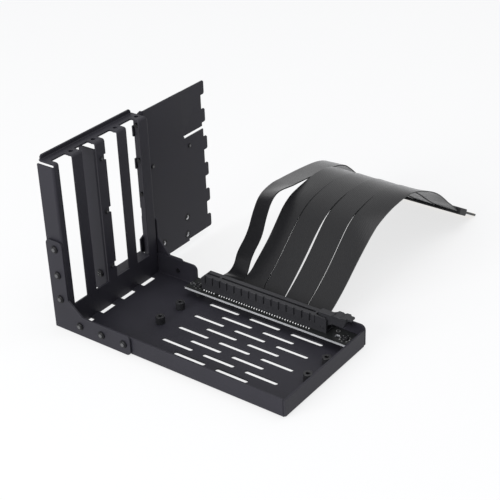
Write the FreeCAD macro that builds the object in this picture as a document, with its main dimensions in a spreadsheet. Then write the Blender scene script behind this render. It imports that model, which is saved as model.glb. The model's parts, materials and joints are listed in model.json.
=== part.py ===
"""Vertical graphics card mount with its riser board and flat riser cable.

Lengths are in millimetres. Shapes are drawn from the corner of the tray: X runs from the slot panel to
the far end of the tray, Y from its front flange to the rear, Z up from its underside. Every piece is then
placed so that the centre of the tray's underside is the origin.
"""
import FreeCAD, Part
import math
import operator
import os
import types

import Sketcher

# Driving dimensions
SIZES = {
    # Sheet stock
    "sheet_thick": 1.2,
    "bend_inside": 0.5,
    "gusset_thick": 1.5,
    "plate_thick": 1.0,
    "fit_gap": 0.05,
    "piece_gap": 0.3,
    # Tray
    "tray_tail": 2.5,
    "tray_lip": 12.8,
    "rear_lip": 15.8,
    "rear_lip_left": 34.0,
    "rear_lip_right": 26.0,
    "rear_lip_round": 3.5,
    "seam_gap": 0.3,
    "tongue_long": 12.6,
    "tongue_deep": 2.6,
    # Vents in the tray
    "vent_long": 24.0,
    "vent_wide": 3.0,
    "vent_pitch": 32.12,
    "vent_row_pitch": 8.09,
    "vent_first_along": 66.85,
    "vent_first_across": 15.8,
    # Slot panel
    "slot_pitch": 20.32,
    "slot_wide": 12.12,
    "slot_first": 5.0,
    "slot_last": 9.12,
    "slot_bottom": 17.6,
    "slot_reach": 6.6,
    "slot_round": 0.8,
    "panel_height": 116.6,
    "panel_depth": 13.4,
    "ledge_slit": 0.8,
    "bar_rise": 2.8,
    "bar_inset": 2.6,
    "bar_chamfer": 1.2,
    "card_screw_back": 5.5,
    "card_screw_radius": 1.45,
    "rear_flange_depth": 11.5,
    "rear_tab_wide": 2.4,
    "rear_tab_high": 7.5,
    "rear_tab_drop": 14.7,
    "rear_tab_middle": 76.5,
    "rear_tab_lower": 12.7,
    "rear_tab_lower_wide": 4.2,
    "rear_tab_lower_high": 13.3,
    # Divider wall and shelf behind the panel
    "wall_bottom": 9.0,
    "wall_top_drop": 2.9,
    "wall_overhang": 1.5,
    "wall_notch_deep": 1.6,
    "wall_notch_high": 4.0,
    "wall_rivet_drop": 7.2,
    "wall_rivet_middle": 67.6,
    "wall_rivet_lower": 27.4,
    "wall_rivet_inset": 4.1,
    "shelf_depth": 6.6,
    "shelf_end_gap": 7.0,
    "shelf_tab_high": 8.5,
    "shelf_screw_back": 7.0,
    "shelf_screw_rise": 4.2,
    # Case plate
    "plate_back": 4.9,
    "plate_joggle": 0.8,
    "joggle_start": 39.6,
    "joggle_long": 1.0,
    "plate_reach": 61.4,
    "plate_bottom": 4.5,
    "plate_top_margin": 0.6,
    "plate_flange_end": 13.2,
    "plate_flange_bottom": 46.0,
    "plate_flange_chamfer": 6.0,
    "tooth_long": 3.7,
    "tooth_high": 9.8,
    "tooth_bottom": 6.0,
    "tooth_chamfer": 0.9,
    "plate_slit_height": 83.9,
    "plate_slit_wide": 1.7,
    "plate_slit_long": 20.7,
    "plate_hole_a_across": 38.6,
    "plate_hole_a_height": 23.7,
    "plate_hole_b_across": 37.8,
    "plate_hole_b_height": 10.5,
    "plate_hole_c_across": 12.4,
    "plate_hole_c_height": 15.1,
    "plate_rivet_a_across": 6.6,
    "plate_rivet_b_across": 45.6,
    "plate_rivet_height": 76.5,
    "plate_screw_back": 9.4,
    "plate_screw_drop": 6.6,
    "plate_screw_pitch": 25.0,
    "nut_radius": 2.8,
    "nut_shoulder": 3.5,
    "nut_high": 2.4,
    "nut_bore": 1.7,
    # Gussets
    "gusset_back": 13.0,
    "gusset_front": 0.5,
    "gusset_top": 64.5,
    "gusset_arm": 50.4,
    "gusset_arm_high": 14.0,
    "gusset_slope_top": 23.0,
    "gusset_slope_end": 11.6,
    "gusset_round": 3.5,
    "gusset_screw_back": 5.6,
    "gusset_screw_upper": 58.6,
    "gusset_screw_middle": 40.1,
    "gusset_screw_lower": 22.6,
    "tray_screw_height": 7.3,
    "tray_screw_first": 9.0,
    "tray_screw_pitch": 18.1,
    "rear_gusset_top": 42.5,
    "rear_gusset_arm": 22.5,
    "rear_gusset_arm_high": 16.0,
    "rear_gusset_slope_top": 27.0,
    "rear_gusset_slope_end": 9.8,
    "rear_gusset_chamfer": 3.0,
    "rear_screw_upper": 34.5,
    "rear_screw_lower": 10.0,
    "rear_tray_screw": 17.5,
    # Fasteners
    "screw_radius": 1.5,
    "screw_hole_radius": 1.6,
    "screw_head_radius": 2.6,
    "screw_head_high": 1.5,
    "screw_grip": 3.2,
    "rivet_radius": 1.1,
    "rivet_head_radius": 1.7,
    "rivet_head_high": 0.7,
    "rivet_tail": 0.4,
    # Riser board on its standoffs
    "board_start": 35.0,
    "board_tail": 27.5,
    "board_gap": 0.4,
    "board_wide": 14.2,
    "board_thick": 1.6,
    "standoff_high": 5.3,
    "standoff_radius": 3.0,
    "standoff_spigot": 2.1,
    "standoff_bore": 1.25,
    "standoff_start": 7.5,
    "standoff_end": 6.5,
    "standoff_inset": 6.1,
    "spare_hole_step": 5.5,
    "board_screw_radius": 1.2,
    "board_screw_grip": 4.2,
    "board_hole_radius": 1.6,
    "board_head_radius": 2.4,
    "board_head_high": 1.5,
    # Card connector and its latch
    "connector_start": 46.0,
    "connector_long": 89.0,
    "connector_wide": 7.5,
    "connector_high": 10.8,
    "connector_offset": 2.0,
    "connector_chamfer": 2.4,
    "groove_wide": 1.8,
    "groove_deep": 8.0,
    "groove_end_wall": 1.6,
    "key_start": 12.9,
    "key_wide": 1.7,
    "band_foot": 5.2,
    "band_proud": 0.5,
    "slit_pitch": 5.83,
    "slit_wide": 1.4,
    "slit_deep": 0.9,
    "slit_first": 3.4,
    "tail_pitch": 2.0,
    "tail_wide": 0.7,
    "tail_long": 1.5,
    "tail_high": 0.4,
    "tail_first": 2.65,
    "tail_second": 15.15,
    "cheek_long": 8.4,
    "cheek_low": 9.4,
    "cheek_flat": 7.0,
    "cheek_thick": 1.3,
    "cheek_floor": 1.1,
    "latch_side_gap": 0.2,
    "latch_pivot_along": 5.5,
    "latch_pivot_height": 3.6,
    "trunnion_radius": 1.1,
    "latch_hub_radius": 2.0,
    "latch_hub_round": 1.8,
    "latch_edge_round": 0.7,
    "latch_arm_low": 4.9,
    "latch_web_low": 7.1,
    "latch_web_start": 6.5,
    "latch_web_end": 14.2,
    "latch_nose_high": 13.4,
    "latch_nose_long": 1.8,
    "latch_nose_thick": 2.4,
    "latch_nose_end": 5.0,
    "latch_hump_drop": 0.4,
    "latch_hump_start": 8.0,
    "latch_hump_end": 11.2,
    "latch_dip_along": 12.4,
    "latch_dip_deep": 1.0,
    "latch_bump_start": 13.9,
    "latch_wing_end": 16.8,
    "latch_wing_thick": 2.0,
    "latch_paddle_long": 20.1,
    "latch_paddle_high": 15.1,
    "latch_paddle_thick": 1.7,
    "latch_paddle_wide": 7.0,
    # Flat cable and its plug
    "boot_wide": 89.0,
    "boot_start": 48.0,
    "boot_top": 2.3,
    "boot_bottom": 1.2,
    "boot_lap": 1.7,
    "boot_reach": 2.6,
    "ribbon_wide": 17.2,
    "ribbon_pitch": 17.4,
    "ribbon_thick": 0.9,
    "ribbon_first": 49.0,
    "ribbon_seat": 0.6,
    "ribbon_skew": 3.0,
    "plug_tilt": 30.0,
    "plug_wide": 89.0,
    "plug_cover_long": 12.0,
    "plug_cover_thick": 5.0,
    "plug_cover_round": 1.2,
    "plug_board_long": 34.0,
    "plug_edge_wide": 85.2,
    "plug_notch_wide": 1.9,
    "plug_notch_deep": 8.0,
    "plug_notch_side": 11.65,
    "finger_pitch": 1.0,
    "finger_wide": 0.7,
    "finger_long": 4.2,
    "finger_thick": 0.06,
    "finger_setback": 1.5,
    "finger_edge": 0.5,
}

# How far a cut runs past the faces that it opens
PAST = 1.0

SLOT_COUNT = 4
TOOTH_COUNT = 6
VENT_ROWS = 4
SHORT_TAILS = 5
RIBBON_COUNT = 5
# Shape of a fastener's head: share of its height that is straight, and share of its radius left on top
HEAD_RIM = 0.45
HEAD_CROWN = 0.62
# Share of a vent's half width that its rounded corners take
VENT_ROUNDING = 0.98

# Side route of the cable from the boot to the plug: distance from the boot's rear face, and height
RIBBON_ROUTE = [(5.0, 11.2), (14.0, 18.2), (27.0, 31.0), (41.0, 44.5), (54.0, 53.6), (74.0, 58.6),
                (94.0, 57.2), (113.0, 46.6)]
RIBBON_LAST_RUN = 27.0
PLUG_DISTANCE = 158.8
# Share of the shorter run that a bend of the cable takes
ROUTE_ROUNDING = 0.45
VOLUME_TOLERANCE = 0.02
PLACE_TOLERANCE = 0.01
LEAST_CUT = 1e-6

# Sketcher's numbers for a line's or arc's points, and for the sketch's origin
START, END, CENTRE = range(1, 4)
ORIGIN = -1

doc = FreeCAD.newDocument("vertical_gpu_mount")
sheet = doc.addObject("Spreadsheet::Sheet", "Sizes")
for row, (alias, number) in enumerate(SIZES.items(), start=1):
    sheet.set(f"A{row}", alias.replace("_", " "))
    sheet.set(f"B{row}", str(number))
    sheet.setAlias(f"B{row}", alias)
doc.recompute()


class Size:
    """A number together with the sheet formula that gives it."""

    def __init__(self, formula, value):
        self.formula = formula
        self.value = value

    def __add__(self, other):
        return joined(self, "+", other)

    def __radd__(self, other):
        return joined(other, "+", self)

    def __sub__(self, other):
        return joined(self, "-", other)

    def __rsub__(self, other):
        return joined(other, "-", self)

    def __mul__(self, other):
        return joined(self, "*", other)

    def __rmul__(self, other):
        return joined(other, "*", self)

    def __truediv__(self, other):
        return joined(self, "/", other)

    def __neg__(self):
        return joined(0.0, "-", self)


SIGNS = {"+": operator.add, "-": operator.sub, "*": operator.mul, "/": operator.truediv}


def as_size(number):
    if isinstance(number, Size):
        return number
    return Size(f"({float(number)})", float(number))


def joined(left, sign, right):
    left, right = as_size(left), as_size(right)
    return Size(f"({left.formula} {sign} {right.formula})", SIGNS[sign](left.value, right.value))


S = types.SimpleNamespace(**{alias: Size(f"Sizes.{alias}", float(sheet.get(alias))) for alias in SIZES})

# Places that several pieces share
tray_width = S.slot_first + (SLOT_COUNT - 1) * S.slot_pitch + S.slot_wide + S.slot_last
connector_end = S.connector_start + S.connector_long
board_end = connector_end + S.board_tail
tray_length = board_end + S.tray_tail
bend_outside = S.bend_inside + S.sheet_thick
floor_top = S.sheet_thick
flange_top = S.panel_height - S.sheet_thick - S.ledge_slit
wall_face = S.slot_first + S.slot_pitch + S.slot_wide
bar_edge = S.slot_first + 2 * S.slot_pitch
wall_flange_back = S.sheet_thick * 2
rivet_hole = S.rivet_radius + S.fit_gap
wall_top = flange_top - S.wall_top_drop
shelf_screw_height = S.slot_bottom + S.shelf_screw_rise
tab_middle = S.slot_first + S.slot_wide + (S.slot_pitch - S.slot_wide) / 2
plate_inner = tray_width + S.gusset_thick + S.screw_head_high + S.piece_gap
board_bottom = floor_top + S.standoff_high
board_top = board_bottom + S.board_thick
board_back = tray_width - S.sheet_thick - S.board_gap
board_front = board_back - S.board_wide
standoff_back = board_front + S.standoff_inset
connector_middle = standoff_back + S.connector_offset
connector_front = connector_middle - S.connector_wide / 2
connector_back = connector_middle + S.connector_wide / 2
connector_top = board_top + S.connector_high
pivot_along = connector_end + S.latch_pivot_along
pivot_height = board_top + S.latch_pivot_height
boot_back = board_back + S.boot_reach
ribbon_height = board_bottom + S.board_thick / 2

wall_rivet_heights = [wall_top - S.wall_rivet_drop, S.wall_rivet_middle, S.wall_rivet_lower]
gusset_screw_heights = [S.gusset_screw_upper, S.gusset_screw_middle, S.gusset_screw_lower]
tray_screws_along = [S.tray_screw_first + step * S.tray_screw_pitch for step in range(3)]
rear_screw_heights = [S.rear_screw_upper, S.rear_screw_lower]
plate_screw_heights = [flange_top - S.plate_screw_drop - step * S.plate_screw_pitch for step in range(3)]
standoff_ends = [S.board_start + S.standoff_start, board_end - S.standoff_end]
standoff_rows = [standoff_back - step * S.slot_pitch for step in range(3)]
case_holes = [
    (tray_width + S.plate_hole_a_across, S.plate_hole_a_height),
    (tray_width + S.plate_hole_b_across, S.plate_hole_b_height),
    (tray_width + S.plate_hole_c_across, S.plate_hole_c_height),
]

finished = []


# Document helpers
def bind(obj, **formulas):
    for prop, number in formulas.items():
        obj.setExpression(prop.replace("__", "."), as_size(number).formula)


def move(obj, x=0.0, y=0.0, z=0.0):
    bind(obj, Placement__Base__x=x, Placement__Base__y=y, Placement__Base__z=z)


def finish(obj, label):
    """Name a sub-part and shift it from the tray's corner to the tray's centre."""
    obj.Label = label
    move(obj, -tray_length / 2, -tray_width / 2)
    finished.append(obj)


def new_body(label):
    return doc.addObject("PartDesign::Body", label)


def origin_feature(body, role):
    return next(feature for feature in body.Origin.OriginFeatures if feature.Role == role)


def numbered(sketch, constraints, numbers):
    """Add constraints and bind those that carry a number."""
    indices = sketch.addConstraint(constraints)
    for index, number in zip(indices, numbers):
        if number is not None:
            name = f"size_{index}"
            sketch.renameConstraint(index, name)
            sketch.setExpression(f"Constraints.{name}", as_size(number).formula)


def pinned(geometry, position, x, y):
    """Two constraints that hold a point at x, y from the sketch's origin."""
    x, y = as_size(x), as_size(y)
    return [
        Sketcher.Constraint("DistanceX", ORIGIN, START, geometry, position, x.value),
        Sketcher.Constraint("DistanceY", ORIGIN, START, geometry, position, y.value),
    ]


def corner_arc(before, point, after, radius):
    """Tangent arc in a corner: entry, exit, and the arc with its turn (1 left, -1 right)."""
    toward = (before - point).normalize()
    onward = (after - point).normalize()
    half = toward.getAngle(onward) / 2
    reach = radius / math.tan(half)
    entry = point + toward * reach
    leave = point + onward * reach
    middle = point + (toward + onward).normalize() * (radius / math.sin(half))
    turn = 1 if (-toward).cross(onward).z > 0 else -1
    first, last = (entry, leave) if turn > 0 else (leave, entry)
    begin = math.atan2(first.y - middle.y, first.x - middle.x)
    end = math.atan2(last.y - middle.y, last.x - middle.x)
    circle = Part.Circle(middle, FreeCAD.Vector(0, 0, 1), radius)
    return entry, leave, Part.ArcOfCircle(circle, begin, end), turn


def outline(sketch, corners):
    """Closed outline through corners (x, y) or (x, y, radius), all bound to the sheet."""
    count = len(corners)
    points = [FreeCAD.Vector(as_size(c[0]).value, as_size(c[1]).value, 0) for c in corners]
    rounds = {}
    entries, exits = list(points), list(points)
    for i, corner in enumerate(corners):
        if len(corner) == 3:
            radius = as_size(corner[2]).value
            rounds[i] = corner_arc(points[i - 1], points[i], points[(i + 1) % count], radius)
            entries[i], exits[i] = rounds[i][:2]
    lines = [sketch.addGeometry(Part.LineSegment(exits[i], entries[(i + 1) % count])) for i in range(count)]
    for i, corner in enumerate(corners):
        before, after = lines[i - 1], lines[i]
        if i not in rounds:
            constraints = [Sketcher.Constraint("Coincident", before, END, after, START)]
            constraints += pinned(after, START, corner[0], corner[1])
            numbered(sketch, constraints, [None, corner[0], corner[1]])
            continue
        arc = sketch.addGeometry(rounds[i][2])
        apex = sketch.addGeometry(Part.Point(points[i]), True)
        begin, end = (START, END) if rounds[i][3] > 0 else (END, START)
        constraints = [
            Sketcher.Constraint("Tangent", before, END, arc, begin),
            Sketcher.Constraint("Tangent", arc, end, after, START),
            Sketcher.Constraint("PointOnObject", apex, START, before),
            Sketcher.Constraint("PointOnObject", apex, START, after),
        ]
        constraints += pinned(apex, START, corner[0], corner[1])
        constraints.append(Sketcher.Constraint("Radius", arc, as_size(corner[2]).value))
        numbered(sketch, constraints, [None, None, None, None, corner[0], corner[1], corner[2]])


def rectangle(sketch, x0, y0, x1, y1):
    outline(sketch, [(x0, y0), (x1, y0), (x1, y1), (x0, y1)])


def circle(sketch, x, y, radius):
    middle = FreeCAD.Vector(as_size(x).value, as_size(y).value, 0)
    ring = sketch.addGeometry(Part.Circle(middle, FreeCAD.Vector(0, 0, 1), as_size(radius).value))
    constraints = pinned(ring, CENTRE, x, y) + [Sketcher.Constraint("Radius", ring, as_size(radius).value)]
    numbered(sketch, constraints, [x, y, radius])


def extrude(body, kind, name, role, start, end, *shapes):
    """Pad or pocket between two planes: XY runs up Z, XZ along Y, YZ along X."""
    sketch = body.newObject("Sketcher::SketchObject", f"{name}_sketch")
    sketch.AttachmentSupport = (origin_feature(body, f"{role}_Plane"), [""])
    sketch.MapMode = "FlatFace"
    backward = role == "XZ"
    bind(sketch, AttachmentOffset__Base__z=-start if backward else start)
    for draw, values in shapes:
        draw(sketch, *values)
    feature = body.newObject(f"PartDesign::{kind}", name)
    feature.Profile = sketch
    feature.Reversed = backward == (kind == "Pad")
    bind(feature, Length=end - start)
    return feature


def pad(body, name, role, start, end, *shapes):
    return extrude(body, "Pad", name, role, as_size(start), as_size(end), *shapes)


def pocket(body, name, role, start, end, *shapes):
    return extrude(body, "Pocket", name, role, as_size(start), as_size(end), *shapes)


def pierce(body, name, role, start, end, *shapes):
    """Pocket that runs past both planes."""
    return pocket(body, name, role, start - PAST, end + PAST, *shapes)


def repeat(body, name, feature, axis, count, pitch, second_axis=None, second_count=1, second_pitch=None):
    pattern = body.newObject("PartDesign::LinearPattern", name)
    pattern.Originals = [feature]
    pattern.Direction = (origin_feature(body, f"{axis}_Axis"), [""])
    pattern.Occurrences = count
    bind(pattern, Length=pitch * (count - 1))
    if second_axis:
        pattern.Direction2 = (origin_feature(body, f"{second_axis}_Axis"), [""])
        pattern.Occurrences2 = second_count
        bind(pattern, Length2=second_pitch * (second_count - 1))
    body.Tip = pattern
    return pattern


def fitting(length, pitch):
    """How many copies of a feature fit in a length at a pitch."""
    return int(length.value / pitch.value) + 1


def matches(point, place):
    wanted = [(have, as_size(want).value) for have, want in zip(point, place) if want is not None]
    return all(abs(have - want) < PLACE_TOLERANCE for have, want in wanted)


def round_edges(body, name, radius, *places):
    """Fillet the edges whose two ends both lie at one of the places; None leaves a direction free."""
    doc.recompute()
    base = body.Tip
    names = []
    for index, edge in enumerate(base.Shape.Edges, start=1):
        ends = [vertex.Point for vertex in edge.Vertexes]
        if any(all(matches(end, place) for end in ends) for place in places):
            names.append(f"Edge{index}")
    fillet = body.newObject("PartDesign::Fillet", name)
    fillet.Base = (base, names)
    bind(fillet, Radius=radius)
    body.Tip = fillet
    return fillet


def cylinder(name, radius, height, place, axis):
    """Cylinder from a place along +X, +Y, +Z or their opposites."""
    solid = doc.addObject("Part::Cylinder", name)
    bind(solid, Radius=radius, Height=height)
    solid.Placement.Rotation = FreeCAD.Rotation(FreeCAD.Vector(0, 0, 1), FreeCAD.Vector(*axis))
    move(solid, *place)
    return solid


def cone(name, bottom, top, height, place, axis):
    solid = doc.addObject("Part::Cone", name)
    bind(solid, Radius1=bottom, Radius2=top, Height=height)
    solid.Placement.Rotation = FreeCAD.Rotation(FreeCAD.Vector(0, 0, 1), FreeCAD.Vector(*axis))
    move(solid, *place)
    return solid


def fused(name, solids):
    union = doc.addObject("Part::MultiFuse", name)
    union.Shapes = solids
    return union


def group(label, solids):
    bundle = doc.addObject("Part::Compound", label)
    bundle.Links = solids
    finish(bundle, label)


def along(place, axis, distance):
    return [start + step * distance for start, step in zip(place, axis)]


def bored(name, solids, radius, place, axis, deep):
    """Union of solids with a bore through them from a place along an axis."""
    ring = doc.addObject("Part::Cut", name)
    ring.Base = fused(f"{name}_solid", solids)
    ring.Tool = cylinder(f"{name}_bore", radius, deep + 2 * PAST, along(place, axis, -PAST), axis)
    return ring


def fastener(name, place, outward, shank, grip, head, head_high):
    """Round-headed fastener: the head stands on place and points outward, the shank runs inward."""
    inward = [-step for step in outward]
    rim = head_high * HEAD_RIM
    return fused(name, [
        cylinder(f"{name}_shank", shank, grip, place, inward),
        cylinder(f"{name}_rim", head, rim, place, outward),
        cone(f"{name}_crown", head, head * HEAD_CROWN, head_high - rim, along(place, outward, rim), outward),
    ])


def fasteners(label, places, outward, shank, grip, head, head_high):
    solids = []
    for index, place in enumerate(places, start=1):
        solids.append(fastener(f"{label}_{index}", place, outward, shank, grip, head, head_high))
    group(label, solids)


# Tray: folded floor, flanges and vents
def make_tray():
    body = new_body("tray")
    seam = tray_length - S.sheet_thick - S.seam_gap
    section = [
        (0, 0, bend_outside),
        (tray_width, 0, bend_outside),
        (tray_width, S.rear_lip),
        (tray_width - S.sheet_thick, S.rear_lip),
        (tray_width - S.sheet_thick, floor_top, S.bend_inside),
        (S.sheet_thick, floor_top, S.bend_inside),
        (S.sheet_thick, S.tray_lip),
        (0, S.tray_lip),
    ]
    pad(body, "tray_floor", "YZ", 0, seam, (outline, [section]))
    end_start = tray_length - S.tray_lip
    end_section = [
        (end_start, 0),
        (tray_length, 0, bend_outside),
        (tray_length, S.tray_lip),
        (tray_length - S.sheet_thick, S.tray_lip),
        (tray_length - S.sheet_thick, floor_top, S.bend_inside),
        (end_start, floor_top),
    ]
    pad(body, "tray_end", "XZ", bend_outside, tray_width - bend_outside, (outline, [end_section]))
    pad(body, "tray_end_corners", "YZ", tray_length - S.sheet_thick, tray_length,
        (rectangle, [0, bend_outside, tray_width - S.sheet_thick - S.seam_gap, S.tray_lip]))
    pad(body, "rear_lip_corner", "YZ", seam, tray_length,
        (rectangle, [tray_width - S.sheet_thick, bend_outside, tray_width, S.rear_lip]))
    gap_end = tray_length - S.rear_lip_right
    pocket(body, "ribbon_gap", "YZ", S.rear_lip_left, gap_end,
           (rectangle, [tray_width - bend_outside, -PAST, tray_width + PAST, S.rear_lip + PAST]))
    slot_middle = S.slot_first + S.slot_wide / 2
    notch = pierce(body, "tongue_notch", "XY", 0, floor_top,
                   (rectangle, [-PAST, slot_middle - S.tongue_long / 2,
                                S.tongue_deep, slot_middle + S.tongue_long / 2]))
    repeat(body, "tongue_notches", notch, "Y", SLOT_COUNT, S.slot_pitch)
    vent_rows(body, "long_vents", S.vent_first_along, S.vent_first_across + S.vent_row_pitch, 3)
    vent_rows(body, "short_vents", S.vent_first_along + S.vent_pitch / 2, S.vent_first_across, 2)
    pierce(body, "standoff_holes", "XY", 0, floor_top,
           *[(circle, [x, y, S.standoff_spigot + S.fit_gap]) for x in standoff_ends for y in standoff_rows])
    pierce(body, "front_lip_holes", "XZ", 0, S.sheet_thick,
           *[(circle, [x, S.tray_screw_height, S.screw_hole_radius]) for x in tray_screws_along])
    pierce(body, "rear_lip_hole", "XZ", tray_width - S.sheet_thick, tray_width,
           (circle, [S.rear_tray_screw, S.tray_screw_height, S.screw_hole_radius]))
    round_edges(body, "rear_lip_ends", S.rear_lip_round,
                (S.rear_lip_left, None, S.rear_lip), (gap_end, None, S.rear_lip),
                (tray_length, None, S.rear_lip))
    finish(body, "tray")


def vent_rows(body, name, first_along, first_across, count):
    half = S.vent_wide / 2
    bottom = first_across - half
    top = first_across + half
    left = first_along - S.vent_long / 2
    right = first_along + S.vent_long / 2
    end_round = half * VENT_ROUNDING
    corners = [(left, bottom, end_round), (right, bottom, end_round),
               (right, top, end_round), (left, top, end_round)]
    vent = pierce(body, f"{name}_first", "XY", 0, floor_top, (outline, [corners]))
    repeat(body, name, vent, "X", count, S.vent_pitch, "Y", VENT_ROWS, 2 * S.vent_row_pitch)


# Slot panel: channel with side flanges, ledge with tabs, and upstand
def make_slot_panel():
    body = new_body("slot_panel")
    channel = [
        (-S.panel_depth, 0),
        (0, 0, bend_outside),
        (0, tray_width, bend_outside),
        (-S.rear_flange_depth, tray_width),
        (-S.rear_flange_depth, tray_width - S.sheet_thick),
        (-S.sheet_thick, tray_width - S.sheet_thick, S.bend_inside),
        (-S.sheet_thick, S.sheet_thick, S.bend_inside),
        (-S.panel_depth, S.sheet_thick),
    ]
    pad(body, "channel", "XY", 0, flange_top, (outline, [channel]))
    ledge_bottom = S.panel_height - S.sheet_thick
    bar_top = S.panel_height + S.bar_rise
    bar_front = S.sheet_thick - S.panel_depth
    ledge = [
        (-S.sheet_thick, flange_top),
        (0, flange_top),
        (0, S.panel_height, bend_outside),
        (bar_front, S.panel_height, S.bend_inside),
        (bar_front, bar_top),
        (-S.panel_depth, bar_top),
        (-S.panel_depth, ledge_bottom, bend_outside),
        (-S.sheet_thick, ledge_bottom, S.bend_inside),
    ]
    pad(body, "ledge", "XZ", bend_outside, tray_width - bend_outside, (outline, [ledge]))
    low_end, high_end = S.bar_inset, tray_width - S.bar_inset
    chamfer_bottom = bar_top - S.bar_chamfer
    above = bar_top + PAST
    pocket(body, "bar_ends", "YZ", -S.panel_depth - PAST, bar_front + S.bend_inside,
           (outline, [[(0, S.panel_height), (low_end, S.panel_height), (low_end, chamfer_bottom),
                       (low_end + S.bar_chamfer, bar_top), (low_end + S.bar_chamfer, above), (0, above)]]),
           (outline, [[(high_end, S.panel_height), (tray_width, S.panel_height), (tray_width, above),
                       (high_end - S.bar_chamfer, above), (high_end - S.bar_chamfer, bar_top),
                       (high_end, chamfer_bottom)]]))
    slot_end = S.slot_first + S.slot_wide
    slot = pocket(body, "card_slot", "XY", S.slot_bottom, S.panel_height + PAST,
                  (outline, [[(-S.slot_reach, S.slot_first, S.slot_round), (PAST, S.slot_first),
                              (PAST, slot_end), (-S.slot_reach, slot_end, S.slot_round)]]))
    repeat(body, "card_slots", slot, "Y", SLOT_COUNT, S.slot_pitch)
    hole = pierce(body, "card_screw_hole", "XY", ledge_bottom, S.panel_height,
                  (circle, [-S.card_screw_back, tab_middle, S.card_screw_radius]))
    repeat(body, "card_screw_holes", hole, "Y", SLOT_COUNT, S.slot_pitch)
    pierce(body, "wall_notches", "YZ", -S.sheet_thick, 0,
           *[(rectangle, [bar_edge - S.wall_notch_deep, z - S.wall_notch_high / 2,
                          bar_edge + PAST, z + S.wall_notch_high / 2]) for z in wall_rivet_heights])
    pierce(body, "wall_rivet_holes", "YZ", -S.sheet_thick, 0,
           *[(circle, [bar_edge - S.wall_rivet_inset, z, rivet_hole]) for z in wall_rivet_heights])
    pierce(body, "front_gusset_holes", "XZ", 0, S.sheet_thick,
           *[(circle, [-S.gusset_screw_back, z, S.screw_hole_radius]) for z in gusset_screw_heights])
    rear_start = tray_width - S.sheet_thick
    pierce(body, "rear_gusset_holes", "XZ", rear_start, tray_width,
           *[(circle, [-S.gusset_screw_back, z, S.screw_hole_radius]) for z in rear_screw_heights])
    pierce(body, "plate_holes", "XZ", rear_start, tray_width,
           *[(circle, [-S.plate_screw_back, z, S.screw_hole_radius]) for z in plate_screw_heights])
    tab_edge = tray_width - S.rear_tab_wide
    upper_bottom = flange_top - S.rear_tab_drop
    lower_edge = tray_width - S.rear_tab_lower_wide
    lower_top = S.rear_tab_lower + S.rear_tab_lower_high
    pad(body, "rear_tabs", "YZ", -S.rear_flange_depth - S.sheet_thick, -S.rear_flange_depth,
        (rectangle, [tab_edge, upper_bottom, tray_width, upper_bottom + S.rear_tab_high]),
        (rectangle, [tab_edge, S.rear_tab_middle, tray_width, S.rear_tab_middle + S.rear_tab_high]),
        (outline, [[(lower_edge, S.rear_tab_lower), (tray_width, S.rear_tab_lower), (tray_width, lower_top),
                    (lower_edge, lower_top - S.rear_tab_lower_wide / 2)]]))
    finish(body, "slot_panel")


# Divider wall: angle riveted behind the middle bar of the panel
def make_divider_wall():
    body = new_body("divider_wall")
    inner = wall_face + S.sheet_thick
    wall_back = -S.panel_depth - S.wall_overhang
    angle = [
        (-S.sheet_thick, wall_face, bend_outside),
        (-S.sheet_thick, bar_edge - S.wall_notch_deep),
        (-wall_flange_back, bar_edge - S.wall_notch_deep),
        (-wall_flange_back, inner, S.bend_inside),
        (wall_back, inner),
        (wall_back, wall_face),
    ]
    pad(body, "wall_angle", "XY", S.wall_bottom, wall_top, (outline, [angle]))
    pierce(body, "rivet_holes", "YZ", -wall_flange_back, -S.sheet_thick,
           *[(circle, [bar_edge - S.wall_rivet_inset, z, rivet_hole]) for z in wall_rivet_heights])
    pierce(body, "shelf_hole", "XZ", wall_face, inner,
           (circle, [-S.shelf_screw_back, shelf_screw_height, S.screw_hole_radius]))
    finish(body, "divider_wall")


# Slot shelf: small angle under the two rear card openings
def make_slot_shelf():
    body = new_body("slot_shelf")
    start = wall_face + S.sheet_thick
    end = tray_width - S.sheet_thick - S.shelf_end_gap
    back = wall_flange_back + S.bend_inside + S.fit_gap
    angle = [
        (start, S.slot_bottom - S.sheet_thick, bend_outside),
        (end, S.slot_bottom - S.sheet_thick),
        (end, S.slot_bottom),
        (start + S.sheet_thick, S.slot_bottom, S.bend_inside),
        (start + S.sheet_thick, S.slot_bottom + S.shelf_tab_high),
        (start, S.slot_bottom + S.shelf_tab_high),
    ]
    pad(body, "shelf_angle", "YZ", -back - S.shelf_depth, -back, (outline, [angle]))
    pierce(body, "tab_hole", "XZ", start, start + S.sheet_thick,
           (circle, [-S.shelf_screw_back, shelf_screw_height, S.screw_radius + S.fit_gap]))
    finish(body, "slot_shelf")


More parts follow.
